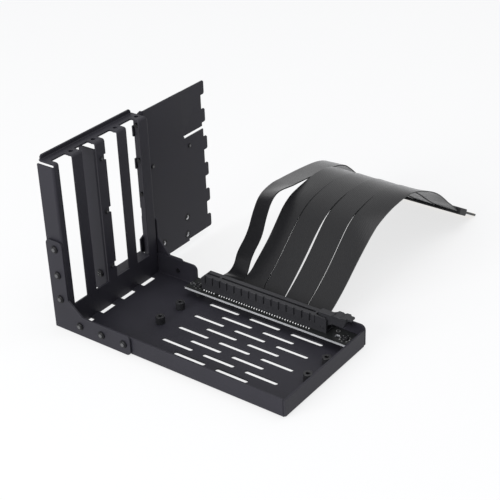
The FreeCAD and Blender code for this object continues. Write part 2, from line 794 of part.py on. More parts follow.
# Case plate: folded sheet with a toothed rear edge, stepped back above its slit
def make_case_plate():
    body = new_body("case_plate")
    front = -S.plate_back
    back = front - S.plate_thick
    flange_back = -S.plate_flange_end
    valley = tray_width + S.plate_reach
    tip = valley + S.tooth_long
    step = tray_width + S.joggle_start
    slit_bottom = S.plate_slit_height - S.plate_slit_wide / 2
    slit_top = S.plate_slit_height + S.plate_slit_wide / 2
    tooth_top = S.tooth_bottom + S.tooth_high
    teeth_top = tooth_top + (TOOTH_COUNT - 1) * S.slot_pitch
    plate_top = teeth_top + S.plate_top_margin
    section = [
        (front, tray_width, S.bend_inside + S.plate_thick),
        (front, valley),
        (back, valley),
        (back, tray_width + S.plate_thick, S.bend_inside),
        (flange_back, tray_width + S.plate_thick),
        (flange_back, tray_width),
    ]
    pad(body, "plate_sheet", "XY", S.plate_bottom, plate_top, (outline, [section]))
    pierce(body, "plate_corner", "YZ", back, front,
           (rectangle, [step, S.plate_bottom - PAST, tip, S.tooth_bottom]))
    pierce(body, "plate_slit", "YZ", back, front,
           (rectangle, [valley - S.plate_slit_long, slit_bottom, tip, slit_top]))
    pierce(body, "flap_room", "YZ", back, front, (rectangle, [step, slit_top, tip, plate_top + PAST]))
    flap_front = front - S.plate_joggle
    flap_back = back - S.plate_joggle
    step_end = step + S.joggle_long
    pad(body, "flap", "XY", slit_top, teeth_top,
        (outline, [[(front, step), (flap_front, step_end), (flap_front, valley),
                    (flap_back, valley), (flap_back, step_end), (back, step)]]))
    pocket(body, "gusset_clearance", "XY", S.plate_bottom - PAST, S.plate_flange_bottom,
           (rectangle, [flange_back - PAST, tray_width - PAST, front + PAST, plate_inner]))
    chamfer_foot = plate_top - S.plate_flange_chamfer
    chamfer_end = flange_back + S.plate_flange_chamfer
    pierce(body, "flange_chamfer", "XZ", tray_width, tray_width + S.plate_thick,
           (outline, [[(flange_back - PAST, chamfer_foot), (flange_back, chamfer_foot),
                       (chamfer_end, plate_top), (chamfer_end, plate_top + PAST),
                       (flange_back - PAST, plate_top + PAST)]]))
    lower_count = fitting(slit_bottom - tooth_top, S.slot_pitch)
    plate_teeth(body, "lower_teeth", back, front, S.tooth_bottom, lower_count)
    plate_teeth(body, "upper_teeth", flap_back, flap_front,
                S.tooth_bottom + lower_count * S.slot_pitch, TOOTH_COUNT - lower_count)
    pierce(body, "nut_holes", "YZ", back, front,
           *[(circle, [y, z, S.nut_radius + S.fit_gap]) for y, z in case_holes])
    rivets = [S.plate_rivet_a_across, S.plate_rivet_b_across]
    pierce(body, "plate_rivet_holes", "YZ", back, front,
           *[(circle, [tray_width + y, S.plate_rivet_height, rivet_hole]) for y in rivets])
    pierce(body, "plate_screw_holes", "XZ", tray_width, tray_width + S.plate_thick,
           *[(circle, [-S.plate_screw_back, z, S.screw_hole_radius]) for z in plate_screw_heights])
    finish(body, "case_plate")


def plate_teeth(body, name, back, front, bottom, count):
    top = bottom + S.tooth_high
    tip = tray_width + S.plate_reach + S.tooth_long
    root = tip - 2 * S.tooth_long
    tooth = pad(body, f"{name}_first", "YZ", back, front,
                (outline, [[(root, bottom), (tip - S.tooth_chamfer, bottom),
                            (tip, bottom + S.tooth_chamfer), (tip, top - S.tooth_chamfer),
                            (tip - S.tooth_chamfer, top), (root, top)]]))
    repeat(body, name, tooth, "Z", count, S.slot_pitch)


# Clinch nuts: threaded rings pressed into the case plate from behind
def make_plate_nuts():
    nuts = []
    for index, (y, z) in enumerate(case_holes, start=1):
        name = f"plate_nut_{index}"
        face = (-S.plate_back, y, z)
        inward = (-1, 0, 0)
        seat = along(face, inward, S.plate_thick)
        nuts.append(bored(name, [
            cylinder(f"{name}_shank", S.nut_radius, S.plate_thick + S.nut_high, face, inward),
            cylinder(f"{name}_shoulder", S.nut_shoulder, S.nut_high, seat, inward),
        ], S.nut_bore, face, inward, S.plate_thick + S.nut_high))
    group("plate_nuts", nuts)


# Gussets: flat corner plates between the tray and the panel
def make_gussets():
    body = new_body("front_gusset")
    corners = [
        (-S.gusset_back, 0),
        (S.gusset_arm, 0, S.gusset_round),
        (S.gusset_arm, S.gusset_arm_high, S.gusset_round),
        (S.gusset_slope_end, S.gusset_arm_high),
        (S.gusset_front, S.gusset_slope_top),
        (S.gusset_front, S.gusset_top, S.gusset_round),
        (-S.gusset_back, S.gusset_top, S.gusset_round),
    ]
    pad(body, "front_gusset_sheet", "XZ", -S.gusset_thick, 0, (outline, [corners]))
    front_holes = [(-S.gusset_screw_back, z) for z in gusset_screw_heights]
    front_holes += [(x, S.tray_screw_height) for x in tray_screws_along]
    pierce(body, "front_holes", "XZ", -S.gusset_thick, 0,
           *[(circle, [x, z, S.screw_hole_radius]) for x, z in front_holes])
    finish(body, "front_gusset")

    body = new_body("rear_gusset")
    cut = S.rear_gusset_chamfer
    corners = [
        (-S.gusset_back, 0),
        (S.rear_gusset_arm, 0),
        (S.rear_gusset_arm, S.rear_gusset_arm_high - cut),
        (S.rear_gusset_arm - cut, S.rear_gusset_arm_high),
        (S.rear_gusset_slope_end, S.rear_gusset_arm_high),
        (S.gusset_front, S.rear_gusset_slope_top),
        (S.gusset_front, S.rear_gusset_top, S.gusset_round),
        (-S.gusset_back, S.rear_gusset_top, S.gusset_round),
    ]
    rear_face = tray_width + S.gusset_thick
    pad(body, "rear_gusset_sheet", "XZ", tray_width, rear_face, (outline, [corners]))
    rear_holes = [(-S.gusset_screw_back, z) for z in rear_screw_heights]
    rear_holes.append((S.rear_tray_screw, S.tray_screw_height))
    pierce(body, "rear_holes", "XZ", tray_width, rear_face,
           *[(circle, [x, z, S.screw_hole_radius]) for x, z in rear_holes])
    finish(body, "rear_gusset")

    front_places = [(x, -S.gusset_thick, z) for x, z in front_holes]
    rear_places = [(x, rear_face, z) for x, z in rear_holes]
    screw = (S.screw_radius, S.screw_grip, S.screw_head_radius, S.screw_head_high)
    fasteners("front_gusset_screws", front_places, (0, -1, 0), *screw)
    fasteners("rear_gusset_screws", rear_places, (0, 1, 0), *screw)


# Fasteners of the wall, shelf and case plate
def make_panel_fasteners():
    rivet = (S.rivet_head_radius, S.rivet_head_high)
    fasteners("wall_rivets", [(0, bar_edge - S.wall_rivet_inset, z) for z in wall_rivet_heights], (1, 0, 0),
              S.rivet_radius, wall_flange_back + S.rivet_tail, *rivet)
    screw_head = (S.screw_head_radius, S.screw_head_high)
    fasteners("shelf_screw", [(-S.shelf_screw_back, wall_face, shelf_screw_height)], (0, -1, 0),
              S.screw_radius, S.screw_grip, *screw_head)
    plate_face = tray_width + S.plate_thick
    fasteners("plate_screws", [(-S.plate_screw_back, plate_face, z) for z in plate_screw_heights], (0, 1, 0),
              S.screw_radius, S.screw_grip, *screw_head)
    inner_rivet = (-S.plate_back, tray_width + S.plate_rivet_a_across, S.plate_rivet_height)
    outer_rivet = (-S.plate_back, tray_width + S.plate_rivet_b_across, S.plate_rivet_height)
    fasteners("plate_rivets", [inner_rivet, outer_rivet], (1, 0, 0),
              S.rivet_radius, S.plate_thick + S.rivet_tail, *rivet)


# Standoffs: bored posts with a spigot pressed into the tray
def make_standoffs():
    posts = []
    for column, x in enumerate(standoff_ends):
        for line, y in enumerate(standoff_rows):
            name = f"standoff_{column}_{line}"
            foot = (x, y, 0)
            up = (0, 0, 1)
            posts.append(bored(name, [
                cylinder(f"{name}_post", S.standoff_radius, S.standoff_high, (x, y, floor_top), up),
                cylinder(f"{name}_spigot", S.standoff_spigot, floor_top, foot, up),
            ], S.standoff_bore, foot, up, board_bottom))
    group("standoffs", posts)


# Riser board and the screws that hold it
def make_riser_board():
    body = new_body("riser_board")
    pad(body, "board", "XY", board_bottom, board_top,
        (rectangle, [S.board_start, board_front, board_end, board_back]))
    holes = [x - spare for x in standoff_ends for spare in (0, S.spare_hole_step)]
    pierce(body, "board_holes", "XY", board_bottom, board_top,
           *[(circle, [x, standoff_back, S.board_hole_radius]) for x in holes])
    finish(body, "riser_board")
    fasteners("board_screws", [(x, standoff_back, board_top) for x in standoff_ends], (0, 0, 1),
              S.board_screw_radius, S.board_thick + S.board_screw_grip,
              S.board_head_radius, S.board_head_high)


# Card connector: grooved, ribbed block with cheeks for the latch, and its solder tails
def make_slot_connector():
    body = new_body("slot_connector")
    pad(body, "block", "XY", board_top, connector_top,
        (rectangle, [S.connector_start, connector_front, connector_end, connector_back]))
    cheek_end = connector_end + S.cheek_long
    pad(body, "cheek_block", "XZ", connector_front, connector_back,
        (outline, [[(connector_end, board_top), (cheek_end, board_top), (cheek_end, board_top + S.cheek_low),
                    (connector_end + S.cheek_flat, connector_top), (connector_end, connector_top)]]))
    pocket(body, "latch_channel", "XY", board_top + S.cheek_floor, connector_top + PAST,
           (rectangle, [connector_end, connector_front + S.cheek_thick,
                        cheek_end + PAST, connector_back - S.cheek_thick]))
    pierce(body, "trunnion_bores", "XZ", connector_front, connector_back,
           (circle, [pivot_along, pivot_height, S.trunnion_radius + S.fit_gap]))
    band_bottom = board_top + S.band_foot
    band_front = connector_front - S.band_proud
    pad(body, "band", "XY", band_bottom, connector_top,
        (rectangle, [S.connector_start, band_front, connector_end, connector_front]))
    chamfer_foot = connector_top - S.connector_chamfer
    chamfer_end = S.connector_start + S.connector_chamfer
    pierce(body, "end_chamfer", "XZ", band_front, connector_back,
           (outline, [[(S.connector_start - PAST, chamfer_foot), (S.connector_start, chamfer_foot),
                       (chamfer_end, connector_top), (chamfer_end, connector_top + PAST),
                       (S.connector_start - PAST, connector_top + PAST)]]))
    groove_front = connector_middle - S.groove_wide / 2
    groove_back = connector_middle + S.groove_wide / 2
    groove_start = S.connector_start + S.groove_end_wall
    key = S.connector_start + S.key_start
    pocket(body, "card_groove", "XY", connector_top - S.groove_deep, connector_top + PAST,
           (rectangle, [groove_start, groove_front, key, groove_back]),
           (rectangle, [key + S.key_wide, groove_front, connector_end - S.groove_end_wall, groove_back]))
    slit_start = S.connector_start + S.slit_first
    slit = pocket(body, "slit", "XY", band_bottom, connector_top + PAST,
                  (rectangle, [slit_start, band_front - PAST,
                               slit_start + S.slit_wide, band_front + S.slit_deep]))
    slit_count = fitting(S.connector_long - S.slit_first - S.slit_wide, S.slit_pitch)
    repeat(body, "slits", slit, "X", slit_count, S.slit_pitch)
    finish(body, "slot_connector")

    tails = new_body("solder_tails")
    long_count = fitting(S.connector_long - S.tail_first - S.tail_second, S.tail_pitch)
    rows = (("short_tails", S.tail_first, SHORT_TAILS), ("long_tails", S.tail_second, long_count))
    for name, first, count in rows:
        start = S.connector_start + first
        tail = pad(tails, f"{name}_first", "XY", board_top, board_top + S.tail_high,
                   (rectangle, [start, connector_front - S.tail_long, start + S.tail_wide, connector_front]))
        repeat(tails, name, tail, "X", count, S.tail_pitch)
    finish(tails, "solder_tails")


# Latch: hub on two trunnions, arm with a nose over the card's hook, and a thumb paddle
def make_latch():
    body = new_body("latch")
    arm_front = connector_front + S.cheek_thick + S.latch_side_gap
    arm_back = connector_back - S.cheek_thick - S.latch_side_gap
    left = pivot_along - S.latch_hub_radius
    right = pivot_along + S.latch_hub_radius
    bottom = pivot_height - S.latch_hub_radius
    hub_round = S.latch_hub_round
    edge = S.latch_edge_round
    web_bottom = board_top + S.latch_web_low
    web_end = pivot_along + S.latch_web_end
    nose_tip = left - S.latch_nose_long
    nose_end = pivot_along + S.latch_nose_end
    nose_top = board_top + S.latch_nose_high
    nose_bottom = nose_top - S.latch_nose_thick
    paddle_end = pivot_along + S.latch_paddle_long
    paddle_top = board_top + S.latch_paddle_high
    paddle_bottom = paddle_top - S.latch_paddle_thick
    hump_start = pivot_along + S.latch_hump_start
    hump_top = paddle_top - S.latch_hump_drop
    wing_end = pivot_along + S.latch_wing_end
    wing_bottom = paddle_top - S.latch_wing_thick
    grip = [
        (pivot_along + S.latch_bump_start, paddle_top),
        (pivot_along + S.latch_dip_along, paddle_top - S.latch_dip_deep),
        (pivot_along + S.latch_hump_end, hump_top),
    ]
    profile = [
        (left, bottom, hub_round),
        (right, bottom, hub_round),
        (right, board_top + S.latch_arm_low),
        (pivot_along + S.latch_web_start, web_bottom),
        (web_end, web_bottom, edge),
        (wing_end, wing_bottom),
        (paddle_end, paddle_bottom, edge),
        (paddle_end, paddle_top, edge),
        *grip,
        (hump_start, hump_top, edge),
        (nose_end, nose_top),
        (nose_tip, nose_top, edge),
        (nose_tip, nose_bottom, edge),
        (left, nose_bottom - edge),
    ]
    pad(body, "lever", "XZ", arm_front, arm_back, (outline, [profile]))
    wing = [(hump_start, wing_bottom), (wing_end, wing_bottom), (wing_end, paddle_top), *grip,
            (hump_start, hump_top)]
    paddle_front = connector_middle - S.latch_paddle_wide / 2
    paddle_back = connector_middle + S.latch_paddle_wide / 2
    pad(body, "wing", "XZ", paddle_front, paddle_back, (outline, [wing]))
    pad(body, "trunnions", "XZ", connector_front, connector_back,
        (circle, [pivot_along, pivot_height, S.trunnion_radius]))
    finish(body, "latch")


# Flat cable: boot on the board, five strips side by side, and the plug on the floor
def make_boot():
    body = new_body("ribbon_boot")
    front = board_back - S.boot_lap
    profile = [
        (board_back, board_bottom),
        (front, board_bottom),
        (front, board_bottom - S.boot_bottom),
        (boot_back, board_bottom - S.boot_bottom, S.boot_bottom),
        (boot_back, board_top + S.boot_top, S.boot_bottom),
        (front, board_top + S.boot_top),
        (front, board_top),
        (board_back, board_top),
    ]
    pad(body, "boot", "YZ", S.boot_start, S.boot_start + S.boot_wide, (outline, [profile]))
    finish(body, "ribbon_boot")


def cable_route():
    """Points of the strips' middle line: along from the boot's rear face, and height."""
    tilt = math.radians(S.plug_tilt.value)
    rise = S.plug_board_long.value * math.sin(tilt) + S.board_thick.value / 2 * math.cos(tilt)
    plug = (PLUG_DISTANCE, rise)
    last = (plug[0] - RIBBON_LAST_RUN * math.cos(tilt), plug[1] + RIBBON_LAST_RUN * math.sin(tilt))
    seat = S.ribbon_seat.value
    end = (plug[0] + seat * math.cos(tilt), plug[1] - seat * math.sin(tilt))
    return [(-seat, ribbon_height.value)] + RIBBON_ROUTE + [last, end]


def side_line(points, offset):
    """Straight runs joined by tangent arcs, moved sideways from the route by an offset."""
    edge = -S.ribbon_wide.value / 2
    spots = [FreeCAD.Vector(along, edge, height) for along, height in points]
    edges = []
    radii = []
    place = None
    for i in range(len(spots) - 1):
        run = (spots[i + 1] - spots[i]).normalize()
        normal = FreeCAD.Vector(-run.z, 0, run.x)
        if place is None:
            place = spots[0] + normal * offset
        if i == len(spots) - 2:
            edges.append(Part.LineSegment(place, spots[i + 1] + normal * offset))
            break
        following = (spots[i + 2] - spots[i + 1]).normalize()
        turn = run.getAngle(following)
        shorter = min(spots[i].distanceToPoint(spots[i + 1]), spots[i + 1].distanceToPoint(spots[i + 2]))
        reach = ROUTE_ROUNDING * shorter
        radius = reach / math.tan(turn / 2)
        side = 1 if run.z * following.x - run.x * following.z < 0 else -1
        centre = spots[i + 1] - run * reach + normal * (side * radius)
        entry = spots[i + 1] - run * reach + normal * offset
        after = FreeCAD.Vector(-following.z, 0, following.x)
        leave = spots[i + 1] + following * reach + after * offset
        middle = centre - (normal + after).normalize() * (side * (radius - side * offset))
        edges.append(Part.LineSegment(place, entry))
        edges.append(Part.Arc(entry, middle, leave))
        radii.append(radius)
        place = leave
    return [edge.toShape() for edge in edges], radii


def make_ribbons():
    points = cable_route()
    half = S.ribbon_thick.value / 2
    upper, radii = side_line(points, half)
    lower, _ = side_line(points, -half)
    middle, _ = side_line(points, 0.0)
    ends = [Part.LineSegment(upper[0].firstVertex().Point, lower[0].firstVertex().Point).toShape(),
            Part.LineSegment(upper[-1].lastVertex().Point, lower[-1].lastVertex().Point).toShape()]
    rim = Part.Wire(Part.__sortEdges__(upper + lower + ends))
    length = sum(edge.Length for edge in middle)
    width = S.ribbon_wide.value
    print("cable bend radii", [round(radius, 1) for radius in radii], "length", round(length, 1))
    strip = Part.Face(rim).extrude(FreeCAD.Vector(0, width, 0))
    section = S.ribbon_thick.value * width
    if abs(strip.Volume / (section * length) - 1) > VOLUME_TOLERANCE:
        raise RuntimeError("cable strip volume differs from section times length")
    turn = FreeCAD.Rotation(FreeCAD.Vector(0, 0, 1), 90.0 - S.ribbon_skew.value)
    for index in range(RIBBON_COUNT):
        label = f"ribbon_{index + 1}"
        ribbon = doc.addObject("Part::Feature", label)
        ribbon.Shape = strip
        ribbon.Label = label
        across = S.ribbon_first + S.ribbon_wide / 2 + index * S.ribbon_pitch
        ribbon.Placement = FreeCAD.Placement(FreeCAD.Vector(), turn)
        move(ribbon, across - tray_length / 2, boot_back - tray_width / 2)
        finished.append(ribbon)


def place_plug(body, label):
    """Put a plug piece, drawn with Y along the cable, at the end of the strips and tilted to the floor."""
    tilt = math.radians(S.plug_tilt.value)
    skew = math.tan(math.radians(S.ribbon_skew.value))
    run = PLUG_DISTANCE * math.cos(math.radians(S.ribbon_skew.value))
    rise = S.plug_board_long.value * math.sin(tilt) + S.board_thick.value / 2 * math.cos(tilt)
    ribbons_middle = S.ribbon_first + ((RIBBON_COUNT - 1) * S.ribbon_pitch + S.ribbon_wide) / 2
    body.Label = label
    body.Placement.Rotation = FreeCAD.Rotation(FreeCAD.Vector(1, 0, 0), -S.plug_tilt.value)
    move(body, ribbons_middle + run * skew - tray_length / 2, boot_back + run - tray_width / 2, rise)
    finished.append(body)


def make_plug():
    half_wide = S.plug_wide / 2
    half_thick = S.plug_cover_thick / 2
    board_half = S.board_thick / 2
    cover = new_body("plug_cover")
    cover_end = S.plug_cover_long
    edge_round = S.plug_cover_round
    pad(cover, "cover", "YZ", -half_wide, half_wide,
        (outline, [[(0, -half_thick, edge_round), (cover_end, -half_thick, edge_round),
                    (cover_end, half_thick, edge_round), (0, half_thick, edge_round)]]))
    pocket(cover, "board_seat", "XZ", cover_end / 2, cover_end + PAST,
           (rectangle, [-S.plug_edge_wide / 2, -board_half, S.plug_edge_wide / 2, board_half]))
    place_plug(cover, "plug_cover")

    board = new_body("plug_board")
    edge_half = S.plug_edge_wide / 2
    pad(board, "plug_sheet", "XY", -board_half, board_half,
        (rectangle, [-edge_half, cover_end / 2, edge_half, S.plug_board_long]))
    notch_start = S.plug_notch_side - edge_half
    notch_end = notch_start + S.plug_notch_wide
    pierce(board, "key_notch", "XY", -board_half, board_half,
           (rectangle, [notch_start, S.plug_board_long - S.plug_notch_deep,
                        notch_end, S.plug_board_long + PAST]))
    place_plug(board, "plug_board")

    fingers = new_body("plug_fingers")
    finger_end = S.plug_board_long - S.finger_setback
    rows = (("short_fingers", -edge_half, notch_start), ("long_fingers", notch_end, edge_half))
    for name, edge, far_edge in rows:
        start = edge + S.finger_edge
        count = fitting(far_edge - start - S.finger_wide, S.finger_pitch)
        finger = pad(fingers, f"{name}_first", "XY", -board_half - S.finger_thick, -board_half,
                     (rectangle, [start, finger_end - S.finger_long, start + S.finger_wide, finger_end]))
        repeat(fingers, name, finger, "X", count, S.finger_pitch, "Z", 2, S.board_thick + S.finger_thick)
    place_plug(fingers, "plug_fingers")


make_tray()
make_slot_panel()
make_divider_wall()
make_slot_shelf()
make_case_plate()
make_plate_nuts()
make_gussets()
make_panel_fasteners()
make_standoffs()
make_riser_board()
make_slot_connector()
make_latch()
make_boot()
make_ribbons()
make_plug()
doc.recompute()

# Every object has to be sound before anything is written
for item in doc.Objects:
    if "Invalid" in item.State or "Error" in item.State:
        raise RuntimeError(f"{item.Name} failed: {item.State}")
    if item.TypeId == "PartDesign::Pocket" and item.Shape.Volume > item.BaseFeature.Shape.Volume - LEAST_CUT:
        raise RuntimeError(f"{item.Name} removes nothing")
for item in finished:
    if item.Shape.isNull() or not item.Shape.isValid():
        raise RuntimeError(f"{item.Label} has no valid shape")

os.makedirs("parts", exist_ok=True)
for item in finished:
    item.Shape.exportStep(f"parts/{item.Label}.step")
    box = item.Shape.BoundBox
    print(item.Label, len(item.Shape.Solids), "solids", round(item.Shape.Volume, 1),
          [round(v, 2) for v in (box.XMin, box.YMin, box.ZMin, box.XMax, box.YMax, box.ZMax)])
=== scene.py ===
"""Looks of the vertical graphics card mount: coated sheet metal, riser board, connector and flat cable."""

import json
import math

import bpy
from mathutils import Matrix, Vector


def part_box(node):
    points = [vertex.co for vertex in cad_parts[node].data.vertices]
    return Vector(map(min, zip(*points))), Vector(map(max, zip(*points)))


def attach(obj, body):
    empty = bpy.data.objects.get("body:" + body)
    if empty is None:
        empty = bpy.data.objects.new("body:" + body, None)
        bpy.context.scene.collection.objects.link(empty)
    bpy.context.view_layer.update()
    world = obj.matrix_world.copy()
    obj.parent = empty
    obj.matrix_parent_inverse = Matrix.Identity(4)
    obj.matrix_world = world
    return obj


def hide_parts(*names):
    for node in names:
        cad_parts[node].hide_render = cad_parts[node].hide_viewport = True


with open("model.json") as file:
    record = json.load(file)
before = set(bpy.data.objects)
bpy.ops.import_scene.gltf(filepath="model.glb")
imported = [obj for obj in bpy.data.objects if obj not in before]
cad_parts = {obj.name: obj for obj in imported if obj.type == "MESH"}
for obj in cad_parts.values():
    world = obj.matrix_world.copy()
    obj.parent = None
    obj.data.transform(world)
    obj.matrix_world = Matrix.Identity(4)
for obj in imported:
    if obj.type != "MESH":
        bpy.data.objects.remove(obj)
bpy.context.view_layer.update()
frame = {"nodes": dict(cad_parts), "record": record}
NODES = frame["nodes"]
SLOT_OF = {part["node"]: part["material_slot"] for part in frame["record"]["subparts"]}
MM = 0.001

scene = bpy.context.scene
scene.view_settings.view_transform = "Standard"

# The photograph's view: distance and target in metres, lens and sensor in millimetres
VIEW_AZIMUTH = math.radians(37.1214)
VIEW_ELEVATION = math.radians(29.7343)
VIEW_ROLL = math.radians(-2.0485)
VIEW_DISTANCE = 0.76949
VIEW_TARGET = Vector((0.00444, 0.03210, 0.05))
LENS = 88.78
SENSOR = 36.0


def aim_camera():
    """Set the camera at the photograph's viewing angle."""
    right = Vector((math.cos(VIEW_AZIMUTH), math.sin(VIEW_AZIMUTH), 0.0))
    back = Vector((math.sin(VIEW_AZIMUTH) * math.cos(VIEW_ELEVATION),
                   -math.cos(VIEW_AZIMUTH) * math.cos(VIEW_ELEVATION), math.sin(VIEW_ELEVATION)))
    up = back.cross(right)
    turn = Matrix.Rotation(VIEW_ROLL, 4, "Z")
    place = Matrix((right, up, back)).transposed().to_4x4()
    camera = bpy.data.objects.new("camera", bpy.data.cameras.new("camera"))
    camera.data.lens = LENS
    camera.data.sensor_width = SENSOR
    camera.matrix_world = Matrix.Translation(VIEW_TARGET + back * VIEW_DISTANCE) @ place @ turn
    scene.collection.objects.link(camera)
    scene.camera = camera


# Studio, in metres and watts, with the shares of white backdrop that show in the room and in the floor
SOFTBOXES = [
    {"name": "front_softbox", "place": (-0.35, -1.5, 0.65), "target": (0.0, 0.05, 0.04),
     "width": 1.1, "height": 0.8, "watts": 22.0},
    {"name": "top_softbox", "place": (0.3, 0.2, 1.6), "target": (0.0, 0.05, 0.0),
     "width": 1.2, "height": 1.2, "watts": 8.0},
]
WHITE = (1.0, 1.0, 1.0, 1.0)
ROOM_COLOUR = (0.93, 0.95, 1.0, 1.0)
ROOM_STRENGTH = 0.55
ROOM_BACKDROP = 1.0
FLOOR_COLOUR = (0.93, 0.93, 0.93, 1.0)
FLOOR_BACKDROP = 0.74
FLOOR_SIZE = 8.0
FLOOR_DROP = 0.0002


def softbox(name, place, target, width, height, watts):
    """A soft lamp at a place, aimed at a target."""
    lamp = bpy.data.lights.new(name, "AREA")
    lamp.shape = "RECTANGLE"
    lamp.size = width
    lamp.size_y = height
    lamp.energy = watts
    holder = bpy.data.objects.new(name, lamp)
    holder.location = place
    holder.rotation_euler = (Vector(target) - Vector(place)).to_track_quat("-Z", "Y").to_euler()
    scene.collection.objects.link(holder)


def show_backdrop(tree, lit, backdrop, share, output):
    """Mix in a share of backdrop for rays from the camera and for those mirrored or let through."""
    nodes, links = tree.nodes, tree.links
    path = nodes.new("ShaderNodeLightPath")
    seen = path.outputs["Is Camera Ray"]
    for ray in ("Is Glossy Ray", "Is Transmission Ray"):
        either = nodes.new("ShaderNodeMath")
        either.operation = "MAXIMUM"
        links.new(seen, either.inputs[0])
        links.new(path.outputs[ray], either.inputs[1])
        seen = either.outputs["Value"]
    part = nodes.new("ShaderNodeMath")
    part.operation = "MULTIPLY"
    part.inputs[1].default_value = share
    links.new(seen, part.inputs[0])
    mix = nodes.new("ShaderNodeMixShader")
    links.new(part.outputs["Value"], mix.inputs["Fac"])
    links.new(lit.outputs[0], mix.inputs[1])
    links.new(backdrop.outputs[0], mix.inputs[2])
    links.new(mix.outputs["Shader"], output.inputs["Surface"])


def light_studio():
    """Two softboxes in a pale room with a white backdrop."""
    for box in SOFTBOXES:
        softbox(**box)
    world = bpy.data.worlds.new("studio")
    scene.world = world
    world.use_nodes = True
    nodes = world.node_tree.nodes
    nodes.clear()
    output = nodes.new("ShaderNodeOutputWorld")
    room = nodes.new("ShaderNodeBackground")
    room.inputs["Color"].default_value = ROOM_COLOUR
    room.inputs["Strength"].default_value = ROOM_STRENGTH
    backdrop = nodes.new("ShaderNodeBackground")
    backdrop.inputs["Color"].default_value = WHITE
    backdrop.inputs["Strength"].default_value = 1.0
    show_backdrop(world.node_tree, room, backdrop, ROOM_BACKDROP, output)


def lay_floor():
    """A pale floor just under the mount."""
    bpy.ops.mesh.primitive_plane_add(size=FLOOR_SIZE, location=(0.0, 0.0, -FLOOR_DROP))
    floor = bpy.context.object
    floor.name = "floor"
    material = bpy.data.materials.new("pale_floor")
    material.use_nodes = True
    nodes = material.node_tree.nodes
    nodes.clear()
    output = nodes.new("ShaderNodeOutputMaterial")
    paper = nodes.new("ShaderNodeBsdfDiffuse")
    paper.inputs["Color"].default_value = FLOOR_COLOUR
    glow = nodes.new("ShaderNodeEmission")
    glow.inputs["Color"].default_value = WHITE
    glow.inputs["Strength"].default_value = 1.0
    show_backdrop(material.node_tree, paper, glow, FLOOR_BACKDROP, output)
    floor.data.materials.append(material)


# Finishes: sizes in millimetres, and the band of a noise texture that colour and gloss are spread over
NOISE_BAND = (0.3, 0.7)
CLOUD_SIZE = 30.0
CLOUD_DETAIL = 4.0
GRAIN_DETAIL = 3.0
GRAIN_SHARE = 0.45


def noise(material, place, size, detail):
    """The value of a noise texture whose spots have a size in the units of the place."""
    texture = material.node_tree.nodes.new("ShaderNodeTexNoise")
    texture.inputs["Scale"].default_value = 1.0 / size
    texture.inputs["Detail"].default_value = detail
    material.node_tree.links.new(place, texture.inputs["Vector"])
    return texture.outputs["Fac"]


def cover(material, pattern, relief, dark, light, rough, deep):
    """Spread colour and gloss over a pattern, and raise a relief of a depth."""
    nodes, links = material.node_tree.nodes, material.node_tree.links
    shader = nodes["Principled BSDF"]
    tint = nodes.new("ShaderNodeValToRGB")
    for stop, position, colour in zip(tint.color_ramp.elements, NOISE_BAND, (dark, light)):
        stop.position = position
        stop.color = (*colour, 1.0)
    gloss = nodes.new("ShaderNodeMapRange")
    gloss.inputs["From Min"].default_value = NOISE_BAND[0]
    gloss.inputs["From Max"].default_value = NOISE_BAND[1]
    gloss.inputs["To Min"].default_value = rough[0]
    gloss.inputs["To Max"].default_value = rough[1]
    bump = nodes.new("ShaderNodeBump")
    bump.inputs["Strength"].default_value = 1.0
    bump.inputs["Distance"].default_value = deep * MM
    links.new(pattern, tint.inputs["Fac"])
    links.new(tint.outputs["Color"], shader.inputs["Base Color"])
    links.new(pattern, gloss.inputs["Value"])
    links.new(gloss.outputs["Result"], shader.inputs["Roughness"])
    links.new(relief, bump.inputs["Height"])
    links.new(bump.outputs["Normal"], shader.inputs["Normal"])


def clouded_finish(name, dark, light, rough, grain, deep, metallic=0.0, shine=0.5):
    """A finish with clouded colour, uneven gloss and a fine grain of a size and a depth."""
    material = bpy.data.materials.new(name)
    material.use_nodes = True
    nodes, links = material.node_tree.nodes, material.node_tree.links
    shader = nodes["Principled BSDF"]
    shader.inputs["Metallic"].default_value = metallic
    shader.inputs["Specular IOR Level"].default_value = shine
    place = nodes.new("ShaderNodeTexCoord").outputs["Object"]
    clouds = noise(material, place, CLOUD_SIZE * MM, CLOUD_DETAIL)
    grains = noise(material, place, grain * MM, GRAIN_DETAIL)
    speckle = nodes.new("ShaderNodeMix")
    speckle.inputs["Factor"].default_value = GRAIN_SHARE
    links.new(clouds, speckle.inputs["A"])
    links.new(grains, speckle.inputs["B"])
    cover(material, speckle.outputs["Result"], grains, dark, light, rough, deep)
    return material


COAT = clouded_finish("black_powder_coat", dark=(0.0135, 0.0128, 0.0180), light=(0.0235, 0.0225, 0.0305),
                      rough=(0.46, 0.60), grain=0.6, deep=0.02, shine=0.26)
STEEL = clouded_finish("blackened_steel", dark=(0.005, 0.005, 0.006), light=(0.010, 0.010, 0.012),
                       rough=(0.34, 0.46), grain=0.4, deep=0.008, shine=0.18)
POST_STEEL = clouded_finish("post_steel", dark=(0.011, 0.011, 0.0125), light=(0.021, 0.021, 0.0235),
                            rough=(0.36, 0.48), grain=0.4, deep=0.008, shine=0.3)
# Lighter steel for the crowns of the fastener heads: a painted highlight on the domes
CROWN_HIGHLIGHT_STEEL = clouded_finish("steel_with_painted_highlight", dark=(0.09, 0.09, 0.095), light=(0.17, 0.17, 0.175),
                              rough=(0.26, 0.36), grain=0.3, deep=0.006, metallic=0.7)
BARE_STEEL = clouded_finish("bare_steel", dark=(0.42, 0.42, 0.43), light=(0.62, 0.62, 0.63),
                            rough=(0.28, 0.42), grain=0.3, deep=0.01, metallic=1.0)
BOARD = clouded_finish("black_solder_mask", dark=(0.009, 0.010, 0.010), light=(0.015, 0.016, 0.016),
                       rough=(0.32, 0.42), grain=0.6, deep=0.008, shine=0.3)
